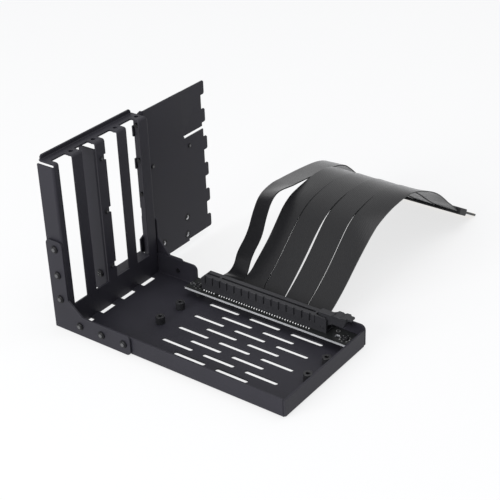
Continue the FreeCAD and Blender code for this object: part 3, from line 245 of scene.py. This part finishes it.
FIBREGLASS = clouded_finish("sawn_fibreglass", dark=(0.33, 0.335, 0.345), light=(0.50, 0.505, 0.52),
                            rough=(0.5, 0.65), grain=0.3, deep=0.03)
PLASTIC = clouded_finish("connector_nylon", dark=(0.018, 0.018, 0.0205), light=(0.029, 0.029, 0.033),
                         rough=(0.40, 0.52), grain=0.3, deep=0.012, shine=0.28)
TIN = clouded_finish("tinned_copper", dark=(0.84, 0.84, 0.84), light=(0.95, 0.95, 0.95),
                     rough=(0.32, 0.46), grain=0.4, deep=0.008, metallic=0.2)
# Dark tin for the connector's tails: painted shade under the connector
SHADED_TAIL_TIN = clouded_finish("tin_with_painted_shade", dark=(0.07, 0.07, 0.07), light=(0.13, 0.13, 0.13),
                          rough=(0.42, 0.56), grain=0.4, deep=0.008, metallic=0.3)
GOLD = clouded_finish("gold_plate", dark=(0.83, 0.57, 0.2), light=(0.95, 0.69, 0.3),
                      rough=(0.18, 0.28), grain=0.4, deep=0.005, metallic=1.0)
BOOT = clouded_finish("boot_moulding", dark=(0.008, 0.008, 0.009), light=(0.014, 0.014, 0.016),
                      rough=(0.46, 0.58), grain=0.3, deep=0.015, shine=0.28)

# Streaks of the cable sleeve, counted over half a strip's width, across the strip and along it
STRIP_MAP = "along_strip"
STREAKS = (52.0, 9.0, 1.0)
STREAK_SIZE = 1.0
STREAK_DETAIL = 5.0


def streaked_sleeve():
    """Cable sleeve: fine streaks and uneven gloss along each strip, on the strip's own map."""
    material = bpy.data.materials.new("cable_sleeve")
    material.use_nodes = True
    nodes, links = material.node_tree.nodes, material.node_tree.links
    shader = nodes["Principled BSDF"]
    shader.inputs["Specular IOR Level"].default_value = 0.3
    shader.inputs["Sheen Weight"].default_value = 0.5
    shader.inputs["Sheen Roughness"].default_value = 0.3
    place = nodes.new("ShaderNodeUVMap")
    place.uv_map = STRIP_MAP
    stretch = nodes.new("ShaderNodeMapping")
    stretch.inputs["Scale"].default_value = STREAKS
    links.new(place.outputs["UV"], stretch.inputs["Vector"])
    streaks = noise(material, stretch.outputs["Vector"], STREAK_SIZE, STREAK_DETAIL)
    cover(material, streaks, streaks, dark=(0.0065, 0.0065, 0.0073), light=(0.0125, 0.0125, 0.0140),
          rough=(0.28, 0.36), deep=0.03)
    return material


SLEEVE = streaked_sleeve()
FINISHES = {"black_coat": COAT, "black_steel": STEEL, "board": BOARD, "connector_plastic": PLASTIC,
            "tinned": TIN, "gold": GOLD, "boot_plastic": BOOT, "ribbon_sleeve": SLEEVE}

# Modelling: how near points are merged, in millimetres, and the angles of flat, smooth and sharp edges
MERGE_WITHIN = 0.002
FLAT_ANGLE = math.radians(0.5)
SMOOTH_ANGLE = math.radians(40.0)
SHARP_ANGLE = math.radians(50.0)

# A face points a way when the share of its normal along that way is above this
FACING = 0.9


def work_on(piece):
    """Make a piece the only one that is selected."""
    bpy.ops.object.select_all(action="DESELECT")
    piece.select_set(True)
    bpy.context.view_layer.objects.active = piece


def apply_modifier(piece, kind, **settings):
    """Add a modifier with its settings and apply it."""
    modifier = piece.modifiers.new(kind.lower(), kind)
    for name, value in settings.items():
        setattr(modifier, name, value)
    work_on(piece)
    bpy.ops.object.modifier_apply(modifier=modifier.name)


def smooth(piece, angle=SMOOTH_ANGLE):
    """Shade a piece smooth, but for the edges that turn by more than an angle."""
    work_on(piece)
    bpy.ops.object.shade_smooth_by_angle(angle=angle)


def faces_up(face):
    """A test for faces that point up."""
    return face.normal.z > FACING


def edit_faces(piece, wanted):
    """Open a piece in edit mode, with only the faces that a test picks selected."""
    work_on(piece)
    bpy.ops.object.mode_set(mode="EDIT")
    bpy.ops.mesh.select_all(action="DESELECT")
    bpy.ops.object.mode_set(mode="OBJECT")
    for face in piece.data.polygons:
        face.select = wanted(face)
    bpy.ops.object.mode_set(mode="EDIT")


def part_faces(piece, place, normal):
    """Part the faces of a piece along a plane."""
    work_on(piece)
    bpy.ops.object.mode_set(mode="EDIT")
    bpy.ops.mesh.select_all(action="SELECT")
    bpy.ops.mesh.bisect(plane_co=place, plane_no=normal)
    bpy.ops.object.mode_set(mode="OBJECT")


def turned_blank(name, sides, radius, bottom, top, ends="NGON"):
    """A cylinder on the upright axis, from one height to another."""
    bpy.ops.object.select_all(action="DESELECT")
    bpy.ops.mesh.primitive_cylinder_add(vertices=sides, radius=radius, depth=top - bottom, end_fill_type=ends,
                                        location=(0.0, 0.0, (bottom + top) / 2))
    blank = bpy.context.object
    blank.name = name
    bpy.ops.object.transform_apply(location=True)
    return blank


def draw_up(piece, profile, high, level=0.0):
    """Raise the top of a piece in steps, by shares of a height, and narrow or widen it at each step."""
    edit_faces(piece, faces_up)
    for rise, width in profile:
        level += rise * high
        bpy.ops.mesh.extrude_region_move(TRANSFORM_OT_translate={"value": (0.0, 0.0, rise * high)})
        bpy.ops.transform.resize(value=(width, width, 1.0), center_override=(0.0, 0.0, level))
    bpy.ops.object.mode_set(mode="OBJECT")


def cut_block(piece, size, place, turn=0.0):
    """Cut a block out of a piece, turned about the upright axis."""
    bpy.ops.object.select_all(action="DESELECT")
    bpy.ops.mesh.primitive_cube_add(size=1.0, location=place)
    block = bpy.context.object
    block.scale = size
    block.rotation_euler = (0.0, 0.0, turn)
    bpy.ops.object.transform_apply(location=True, rotation=True, scale=True)
    apply_modifier(piece, "BOOLEAN", operation="DIFFERENCE", object=block, solver="EXACT")
    bpy.data.objects.remove(block)


def copies_at(pattern, name, places, turn=(0.0, 0.0, 0.0)):
    """Copies of a pattern at places, all turned one way and joined in one piece at the origin."""
    copies = []
    for place in places:
        copy = bpy.data.objects.new(f"{name}_copy", pattern.data.copy())
        scene.collection.objects.link(copy)
        copy.rotation_euler = turn
        copy.location = place
        copies.append(copy)
    bpy.data.objects.remove(pattern)
    bpy.ops.object.select_all(action="DESELECT")
    for copy in copies:
        copy.select_set(True)
    bpy.context.view_layer.objects.active = copies[0]
    bpy.ops.object.transform_apply(location=True, rotation=True)
    bpy.ops.object.join()
    piece = bpy.context.object
    piece.name = name
    return piece


def merged_copy(node, name):
    """A copy of a CAD piece with its loose triangles joined and its flat faces whole."""
    piece = bpy.data.objects.new(name, NODES[node].data.copy())
    scene.collection.objects.link(piece)
    work_on(piece)
    bpy.ops.object.mode_set(mode="EDIT")
    bpy.ops.mesh.select_all(action="SELECT")
    bpy.ops.mesh.customdata_custom_splitnormals_clear()
    bpy.ops.mesh.remove_doubles(threshold=MERGE_WITHIN * MM)
    bpy.ops.mesh.dissolve_limited(angle_limit=FLAT_ANGLE)
    bpy.ops.object.mode_set(mode="OBJECT")
    return piece


def solid_boxes(node):
    """The lowest and highest corners of each separate solid of a node."""
    merged_copy(node, "loose_solids")
    bpy.ops.object.mode_set(mode="EDIT")
    bpy.ops.mesh.separate(type="LOOSE")
    bpy.ops.object.mode_set(mode="OBJECT")
    boxes = []
    for solid in list(bpy.context.selected_objects):
        columns = list(zip(*(corner.co for corner in solid.data.vertices)))
        low = Vector([min(column) for column in columns])
        high = Vector([max(column) for column in columns])
        boxes.append((low, high))
        bpy.data.objects.remove(solid)
    return boxes


def middles(boxes):
    """The middle of each box."""
    return [(low + high) / 2 for low, high in boxes]


def refinish(piece, finish, wanted):
    """Give the faces that a test picks another finish."""
    piece.data.materials.append(finish)
    last = len(piece.data.materials) - 1
    for face in piece.data.polygons:
        if wanted(face):
            face.material_index = last


def stand_for(piece, node, finish=None):
    """Finish a piece, let it ride on its node's body and show it in the node's place."""
    piece.data.materials.clear()
    piece.data.materials.append(finish or FINISHES[SLOT_OF[node]])
    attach(piece, "latch" if node == "latch" else "mount")
    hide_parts(node)


def add_to_mount(piece):
    """Let a piece that the solids don't have ride on the mount."""
    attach(piece, "mount")


# Edge roundings of the folded, moulded and turned pieces, in millimetres
EDGE_ROUNDS = {
    "tray": 0.12, "slot_panel": 0.15, "divider_wall": 0.2, "slot_shelf": 0.2, "case_plate": 0.18,
    "front_gusset": 0.25, "rear_gusset": 0.25, "plate_nuts": 0.15, "standoffs": 0.25,
    "riser_board": 0.08, "slot_connector": 0.12, "solder_tails": 0.1, "latch": 0.25,
    "ribbon_boot": 0.35, "plug_cover": 0.35, "plug_board": 0.08,
}
ROUND_SEGMENTS = 2
# Own finishes: steel for the standoffs, and dark tin for the tails as painted shade under the connector
OWN_FINISH = {"standoffs": POST_STEEL, "solder_tails": SHADED_TAIL_TIN}

# Card places along the panel and the tongue notches in the tray's floor, in millimetres
CARD_PITCH = 20.32
CARD_COUNT = 4
NOTCH_FIRST = -32.54
NOTCH_LONG = 12.6
NOTCH_FROM = -81.0
NOTCH_TO = -78.5
NOTCH_CUT = 4.0

# Front lip of the slot shelf, in millimetres: how far it reaches and its gap beside the wall's flange
SHELF_LIP = 1.6
SHELF_GAP = 0.3

# Bare mouths of the plate nuts' tapped bores, in near-white tin as a painted highlight of the lit bore wall,
# in millimetres: the depth that is painted, the bore's radius and the coated rim
BORE_HIGHLIGHT_DEEP = 1.3
THREAD_WITHIN = 1.72
THREAD_RIM = 0.1

# Faces that lean less than this towards a board's skins are its sawn sides
SAWN_LEAN = 0.3


def round_sharp_edges(piece, width):
    """Round the sharp edges as a coat or a mould leaves them, and keep the flats flat."""
    smooth(piece)
    apply_modifier(piece, "BEVEL", width=width * MM, segments=ROUND_SEGMENTS, limit_method="ANGLE",
                   angle_limit=SHARP_ANGLE, use_clamp_overlap=False, miter_outer="MITER_ARC")
    apply_modifier(piece, "WEIGHTED_NORMAL", keep_sharp=True)


def keep_inside(piece, node):
    """Keep the rounded edges inside the box of the piece that they belong to."""
    low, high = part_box(node)
    for corner in piece.data.vertices:
        corner.co = [min(max(value, least), most) for value, least, most in zip(corner.co, low, high)]


def deepen_notches(tray):
    """Cut the tongue notches in the tray's floor to their full depth."""
    size = ((NOTCH_TO - NOTCH_FROM) * MM, NOTCH_LONG * MM, NOTCH_CUT * MM)
    for number in range(CARD_COUNT):
        middle = NOTCH_FIRST + CARD_PITCH * number
        cut_block(tray, size, ((NOTCH_FROM + NOTCH_TO) / 2 * MM, middle * MM, 0.0))


def reach_panel(shelf):
    """Bring the shelf's front edge up to the panel's back, beside the divider wall's flange."""
    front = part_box("slot_shelf")[1].x - SHELF_GAP * MM
    flange_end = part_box("divider_wall")[1].y + SHELF_GAP * MM
    part_faces(shelf, (0.0, flange_end, 0.0), (0.0, 1.0, 0.0))
    edit_faces(shelf, lambda face: (face.normal.x > FACING and face.center.x > front
                                    and face.center.y > flange_end))
    bpy.ops.mesh.extrude_region_move(TRANSFORM_OT_translate={"value": (SHELF_LIP * MM, 0.0, 0.0)})
    bpy.ops.object.mode_set(mode="OBJECT")


def highlight_bore_mouths(nuts):
    """Leave the mouths of the plate nuts' tapped bores uncoated, in near-white tin as a painted highlight of
    their lit walls.
    """
    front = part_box("plate_nuts")[1].x
    mouth = front - BORE_HIGHLIGHT_DEEP * MM
    rim = front - THREAD_RIM * MM
    bore = THREAD_WITHIN * MM
    places = middles(solid_boxes("plate_nuts"))
    part_faces(nuts, (mouth, 0.0, 0.0), (1.0, 0.0, 0.0))
    # Painted highlight: the bore faces between the mouth and the coated rim get near-white tin
    refinish(nuts, TIN, lambda face: mouth < face.center.x < rim and any(
        math.hypot(face.center.y - place.y, face.center.z - place.z) < bore for place in places))


def bare_board_sides(board):
    """Show the sawn fibreglass between the skins of the riser board."""
    skin = max(NODES["riser_board"].data.polygons, key=lambda face: face.area).normal.copy()
    refinish(board, FIBREGLASS, lambda face: abs(face.normal.dot(skin)) < SAWN_LEAN)


def dress_pieces():
    """Stand finished copies in the place of the folded, moulded and turned CAD pieces."""
    dressed = {}
    for node, width in EDGE_ROUNDS.items():
        piece = merged_copy(node, f"{node}_finished")
        if node == "tray":
            deepen_notches(piece)
        if node == "slot_shelf":
            reach_panel(piece)
        round_sharp_edges(piece, width)
        # The shelf's lip lies outside the box of its solid
        if node != "slot_shelf":
            keep_inside(piece, node)
        stand_for(piece, node, OWN_FINISH.get(node))
        dressed[node] = piece
    bare_board_sides(dressed["riser_board"])
    highlight_bore_mouths(dressed["plate_nuts"])
    return dressed


# Fasteners: outward direction, head height in millimetres, and whether the head has a cross recess
SCREW_HEAD = 1.5
RIVET_HEAD = 0.7
FASTENERS = {
    "front_gusset_screws": ((0, -1, 0), SCREW_HEAD, False),
    "rear_gusset_screws": ((0, 1, 0), SCREW_HEAD, False),
    "plate_screws": ((0, 1, 0), SCREW_HEAD, True),
    "shelf_screw": ((0, -1, 0), SCREW_HEAD, True),
    "board_screws": ((0, 0, 1), SCREW_HEAD, True),
    "wall_rivets": ((1, 0, 0), RIVET_HEAD, False),
    "plate_rivets": ((1, 0, 0), RIVET_HEAD, False),
}

# The dome of a head in steps of (share of its height, narrowing), the depth of a recess as a share of that
# height, and the other sizes as shares of the head's radius
HEAD_SIDES = 32
HEAD_DOME = [(0.35, 1.0), (0.28, 0.9), (0.2, 0.8), (0.12, 0.66), (0.05, 0.6)]
HEAD_SMOOTH = math.radians(42.0)
RECESS_DEEP = 0.45
RECESS_LONG = 1.15
RECESS_WIDE = 0.26
SHANK_SHARE = 0.58
# The crown's share is the radius of the painted highlight on a head
CROWN_SHARE = 0.5


def turned_fastener(head, high, deep, recess):
    """A domed head on a shank: the head's seat is at the origin and it faces up."""
    shank = head * SHANK_SHARE
    piece = turned_blank("fastener", HEAD_SIDES, shank, -deep, 0.0)
    seat = (0.0, head / shank)
    draw_up(piece, [seat] + HEAD_DOME, high)
    if recess:
        blade = (head * RECESS_LONG, head * RECESS_WIDE, 2 * RECESS_DEEP * high)
        for turn in (0.0, math.pi / 2):
            cut_block(piece, blade, (0.0, 0.0, high), turn)
    smooth(piece, HEAD_SMOOTH)
    return piece


def fit_fasteners():
    """Stand turned screws and rivets in the place of the plain ones, with a painted highlight of lighter
    steel on their crowns.
    """
    for node, (outward, head_height, recess) in FASTENERS.items():
        axis = Vector(outward)
        high = head_height * MM
        boxes = solid_boxes(node)
        size = boxes[0][1] - boxes[0][0]
        along = abs(size.dot(axis))
        head = max(abs(part) for part in size - axis * size.dot(axis)) / 2
        seats = [middle + axis * (along / 2 - high) for middle in middles(boxes)]
        pattern = turned_fastener(head, high, along - high, recess)
        piece = copies_at(pattern, f"{node}_finished", seats, axis.to_track_quat("Z", "Y").to_euler())
        stand_for(piece, node)
        crowns = [seat + axis * high for seat in seats]
        # Painted highlight: the outward faces near the middle of each crown get the lighter steel
        refinish(piece, CROWN_HIGHLIGHT_STEEL, lambda face: face.normal.dot(axis) > FACING and any(
            (face.center - crown).length < head * CROWN_SHARE for crown in crowns))


# Plated places on the riser board, in millimetres: open holes, and rings of small vias round the screws
OPEN_HOLES = [(-45.9, 34.1), (65.6, 38.9)]
VIA_RINGS = [(-40.0, 33.9), (73.5, 33.9)]
VIA_COUNT = 8
VIA_RING = 3.35
HOLE_SIZE = {"radius": 1.45, "rim": 0.5, "high": 0.06}
VIA_SIZE = {"radius": 0.5, "rim": 0.3, "high": 0.05}
PLATED_SIDES = 24

# How far a plated hole sinks, as a share of the height of its rim
PLATED_SINK = 0.8


def plated_hole(radius, rim, high):
    """A low bright rim round a dark hole, with its foot at the origin."""
    piece = turned_blank("plated_hole", PLATED_SIDES, radius * MM, 0.0, high * MM)
    edit_faces(piece, faces_up)
    bpy.ops.mesh.inset(thickness=rim * MM)
    bpy.ops.mesh.extrude_region_move(TRANSFORM_OT_translate={"value": (0.0, 0.0, -PLATED_SINK * high * MM)})
    bpy.ops.object.mode_set(mode="OBJECT")
    piece.data.materials.append(BARE_STEEL)
    refinish(piece, BOARD, lambda face: faces_up(face) and face.center.z < high / 2 * MM)
    return piece


def plate_board():
    """Plate the rims of the riser board's open holes and the vias round its screws."""
    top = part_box("riser_board")[1].z
    spots = []
    for x, y in VIA_RINGS:
        for number in range(VIA_COUNT):
            turn = 2 * math.pi * number / VIA_COUNT
            spots.append((x + VIA_RING * math.cos(turn), y + VIA_RING * math.sin(turn)))
    for name, size, places in (("board_hole_rims", HOLE_SIZE, OPEN_HOLES), ("board_vias", VIA_SIZE, spots)):
        piece = copies_at(plated_hole(**size), name, [(x * MM, y * MM, top) for x, y in places])
        add_to_mount(piece)


# Solder joints at the outer ends of the connector's tails, in millimetres; the foot and the steps of the dome
# are shares of the height, with the narrowing at each step
JOINT_WIDE = 0.8
JOINT_LONG = 1.2
JOINT_HIGH = 0.7
JOINT_OUT = 0.15
JOINT_FOOT = 0.3
JOINT_DOME = [(0.4, 0.8), (0.2, 0.66), (0.1, 0.5)]
JOINT_SIDES = 12
JOINT_SMOOTH = math.radians(60.0)


def solder_joints():
    """A small dome of solder over the outer end of each tail."""
    foot = JOINT_FOOT * JOINT_HIGH * MM
    joint = turned_blank("solder_joint", JOINT_SIDES, JOINT_WIDE / 2 * MM, 0.0, foot)
    joint.scale = (1.0, JOINT_LONG / JOINT_WIDE, 1.0)
    bpy.ops.object.transform_apply(scale=True)
    draw_up(joint, JOINT_DOME, JOINT_HIGH * MM, foot)
    smooth(joint, JOINT_SMOOTH)
    board_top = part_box("riser_board")[1].z
    inward = (JOINT_LONG / 2 - JOINT_OUT) * MM
    places = [((low.x + high.x) / 2, low.y + inward, board_top) for low, high in solid_boxes("solder_tails")]
    joints = copies_at(joint, "solder_joints", places)
    joints.data.materials.append(TIN)
    add_to_mount(joints)


# Drawn collars under the tapped holes of the panel's ledge, in millimetres
COLLAR_FIRST = -22.38
COLLAR_X = -88.0
COLLAR_BORE = 1.45
COLLAR_WALL = 0.5
COLLAR_DEEP = 2.4
COLLAR_SUNK = 0.3
COLLAR_SIDES = 28
LEDGE_TOP = 116.6


def thread_collars():
    """A collar under each tapped hole of the panel's ledge."""
    collar = turned_blank("collar", COLLAR_SIDES, COLLAR_BORE * MM, -COLLAR_DEEP * MM, 0.0, ends="NOTHING")
    apply_modifier(collar, "SOLIDIFY", thickness=COLLAR_WALL * MM, offset=1.0)
    smooth(collar)
    top = LEDGE_TOP - COLLAR_SUNK
    places = [(COLLAR_X * MM, (COLLAR_FIRST + CARD_PITCH * number) * MM, top * MM)
              for number in range(CARD_COUNT)]
    collars = copies_at(collar, "ledge_thread_collars", places)
    collars.data.materials.append(COAT)
    add_to_mount(collars)


# Routes of the flat cable in millimetres: along the cable from the boot's rear face, and height
CABLE_FOOT = [(-0.6, 7.3), (4.5, 11.8)]
CABLE_FALL = [(120.0, 47.0), (136.0, 35.5), (148.0, 25.2), (159.3, 17.4)]
LOOSE_ROUTE = [(-0.6, 7.3), (4.6, 10.8), (10.4, 11.2), (14.8, 14.6), (18.4, 23.2), (29.8, 32.5), (35.6, 46.0),
               (42.8, 56.4), (53.2, 58.3), (80.3, 56.7), (117.0, 53.2), (131.0, 42.5), (146.0, 27.0),
               (159.3, 17.4)]
MIDDLE_ROUTE = CABLE_FOOT + [(12.5, 18.0), (26.0, 30.0), (38.0, 42.2), (49.0, 51.6), (62.0, 56.6),
                             (86.0, 58.9), (104.0, 56.2)] + CABLE_FALL
FOURTH_ROUTE = CABLE_FOOT + [(12.5, 18.2), (26.0, 30.3), (38.0, 42.2), (49.0, 51.4), (62.0, 56.2),
                             (86.0, 59.4), (104.0, 56.4)] + CABLE_FALL
LAST_ROUTE = CABLE_FOOT + [(12.6, 18.2), (26.0, 30.5), (38.0, 42.2), (49.2, 51.0), (62.3, 56.0),
                           (86.0, 59.6), (104.0, 56.4)] + CABLE_FALL

# Strips of the flat cable: place across and sideways splay in millimetres, and marks of (share of the length,
# value) for the twist in degrees and for the lift of the left and right edges in millimetres
LEVEL = [(0.0, 0.0), (1.0, 0.0)]
CABLE_STRIPS = [
    {"across": -24.7, "splay": 0.0, "route": LOOSE_ROUTE,
     "twist": [(0.0, 0.0), (0.1, -20.0), (0.2, -21.0), (0.34, -24.0), (0.45, -8.5), (0.6, -5.5), (1.0, 0.0)]},
    {"across": -7.5, "splay": -0.3, "route": MIDDLE_ROUTE,
     "left": [(0.0, 0.0), (0.03, -0.3), (0.1, -3.4), (0.23, -4.6), (0.42, -1.6), (0.6, 0.0), (1.0, 0.0)]},
    {"across": 9.72, "splay": -0.2, "route": MIDDLE_ROUTE},
    {"across": 26.95, "splay": 1.2, "route": FOURTH_ROUTE},
    {"across": 44.18, "splay": 1.5, "route": LAST_ROUTE,
     "right": [(0.0, 0.0), (0.18, 0.0), (0.36, -2.6), (0.5, -1.2), (0.62, 0.0), (0.8, 2.6), (0.92, 1.6),
               (1.0, 0.0)]},
]

# Sizes of a strip in millimetres, its conductors, and the ridges over them as a share of its thickness
STRIP_WIDE = 17.1
STRIP_THICK = 0.9
CONDUCTORS = 13
RIDGE_STEPS = 4
RIDGE_SHARE = 0.07

# The cable's turn off square, the share of a strip's length that its splay takes, and the steps of its line
CABLE_SKEW = math.radians(3.0)
SPLAY_END = 0.38
LINE_STEPS = 16


def smooth_line(points):
    """The points of a smooth spline that has the given points as its control points."""
    curve = bpy.data.curves.new("cable_line", "CURVE")
    curve.dimensions = "3D"
    curve.resolution_u = LINE_STEPS
    spline = curve.splines.new("NURBS")
    spline.points.add(len(points) - 1)
    for knot, place in zip(spline.points, points):
        knot.co = (*place, 1.0)
    spline.order_u = 3
    spline.use_endpoint_u = True
    guide = bpy.data.objects.new("cable_line", curve)
    scene.collection.objects.link(guide)
    mesh = bpy.data.meshes.new_from_object(guide)
    line = [vertex.co.copy() for vertex in mesh.vertices]
    bpy.data.objects.remove(guide)
    bpy.data.curves.remove(curve)
    bpy.data.meshes.remove(mesh)
    return line


def lengths_along(line):
    """The length of a line up to each of its points."""
    lengths = [0.0]
    for before, after in zip(line, line[1:]):
        lengths.append(lengths[-1] + (after - before).length)
    return lengths


def eased(marks, share):
    """The value at a share of the length, eased from mark to mark."""
    for (start, low), (end, high) in zip(marks, marks[1:]):
        if share <= end:
            part = (share - start) / (end - start)
            return low + (high - low) * part * part * (3.0 - 2.0 * part)
    return marks[-1][1]


def strip_outline(half):
    """The cross-section of a strip, with a low ridge over each conductor: places across and their rise."""
    steps = CONDUCTORS * RIDGE_STEPS
    top = []
    for step in range(steps + 1):
        share = step / steps
        ridge = 1.0 - RIDGE_SHARE + RIDGE_SHARE * math.cos(2 * math.pi * CONDUCTORS * share - math.pi)
        top.append(((2 * share - 1) * half, STRIP_THICK * MM / 2 * ridge))
    return top + [(across, -rise) for across, rise in reversed(top)]


def strip_row(spot, run, share, shape, outline, half):
    """A strip's cross-section at a spot, with its splay, its twist and the lift of its edges."""
    level = Vector((math.cos(CABLE_SKEW), -math.sin(CABLE_SKEW), 0.0))
    side = (level - run * level.dot(run)).normalized()
    middle = spot + side * (shape["splay"] * MM * math.sin(math.pi * min(share / SPLAY_END, 1.0)))
    side = Matrix.Rotation(math.radians(eased(shape.get("twist", LEVEL), share)), 3, run) @ side
    normal = side.cross(run)
    left = eased(shape.get("left", LEVEL), share) * MM
    right = eased(shape.get("right", LEVEL), share) * MM
    row = []
    for across, rise in outline:
        from_left = (across + half) / (2 * half)
        lift = left * (1.0 - from_left) ** 2 + right * from_left ** 2
        row.append(middle + side * across + normal * (rise + lift))
    return row


def strip_faces(rows, count):
    """Faces between the cross-sections of a strip and over its two ends."""
    faces = []
    for row in range(rows - 1):
        here = row * count
        there = here + count
        for column in range(count):
            after = (column + 1) % count
            faces.append((here + column, here + after, there + after, there + column))
    faces.append(tuple(reversed(range(count))))
    faces.append(tuple((rows - 1) * count + column for column in range(count)))
    return faces


def cable_strip(name, line, shape):
    """A flat strip along a line, and its length."""
    half = STRIP_WIDE * MM / 2
    outline = strip_outline(half)
    lengths = lengths_along(line)
    vertices = []
    for step, spot in enumerate(line):
        run = (line[min(step + 1, len(line) - 1)] - line[max(step - 1, 0)]).normalized()
        vertices += strip_row(spot, run, lengths[step] / lengths[-1], shape, outline, half)
    mesh = bpy.data.meshes.new(name)
    mesh.from_pydata(vertices, [], strip_faces(len(line), len(outline)))
    strip_map = mesh.uv_layers.new(name=STRIP_MAP)
    for loop in mesh.loops:
        row, column = divmod(loop.vertex_index, len(outline))
        strip_map.data[loop.index].uv = (outline[column][0] / half, lengths[row] / half)
    strip = bpy.data.objects.new(name, mesh)
    scene.collection.objects.link(strip)
    smooth(strip)
    return strip, lengths[-1]


def lay_cable():
    """Lay the five strips from the boot to the plug."""
    boot_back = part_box("ribbon_boot")[1].y
    run = Vector((math.sin(CABLE_SKEW), math.cos(CABLE_SKEW), 0.0))
    for number, shape in enumerate(CABLE_STRIPS, start=1):
        start = Vector((shape["across"] * MM, boot_back, 0.0))
        line = smooth_line([start + run * (along * MM) + Vector((0.0, 0.0, height * MM))
                            for along, height in shape["route"]])
        strip, length = cable_strip(f"cable_strip_{number}", line, shape)
        strip.data.materials.append(SLEEVE)
        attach(strip, "mount")
        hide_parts(f"ribbon_{number}")


def gild_fingers():
    """Give the plug's contact pads their gold."""
    for slot in NODES["plug_fingers"].material_slots:
        slot.material = GOLD


aim_camera()
dressed = dress_pieces()
lay_cable()
fit_fasteners()
plate_board()
solder_joints()
thread_collars()
gild_fingers()
light_studio()
lay_floor()
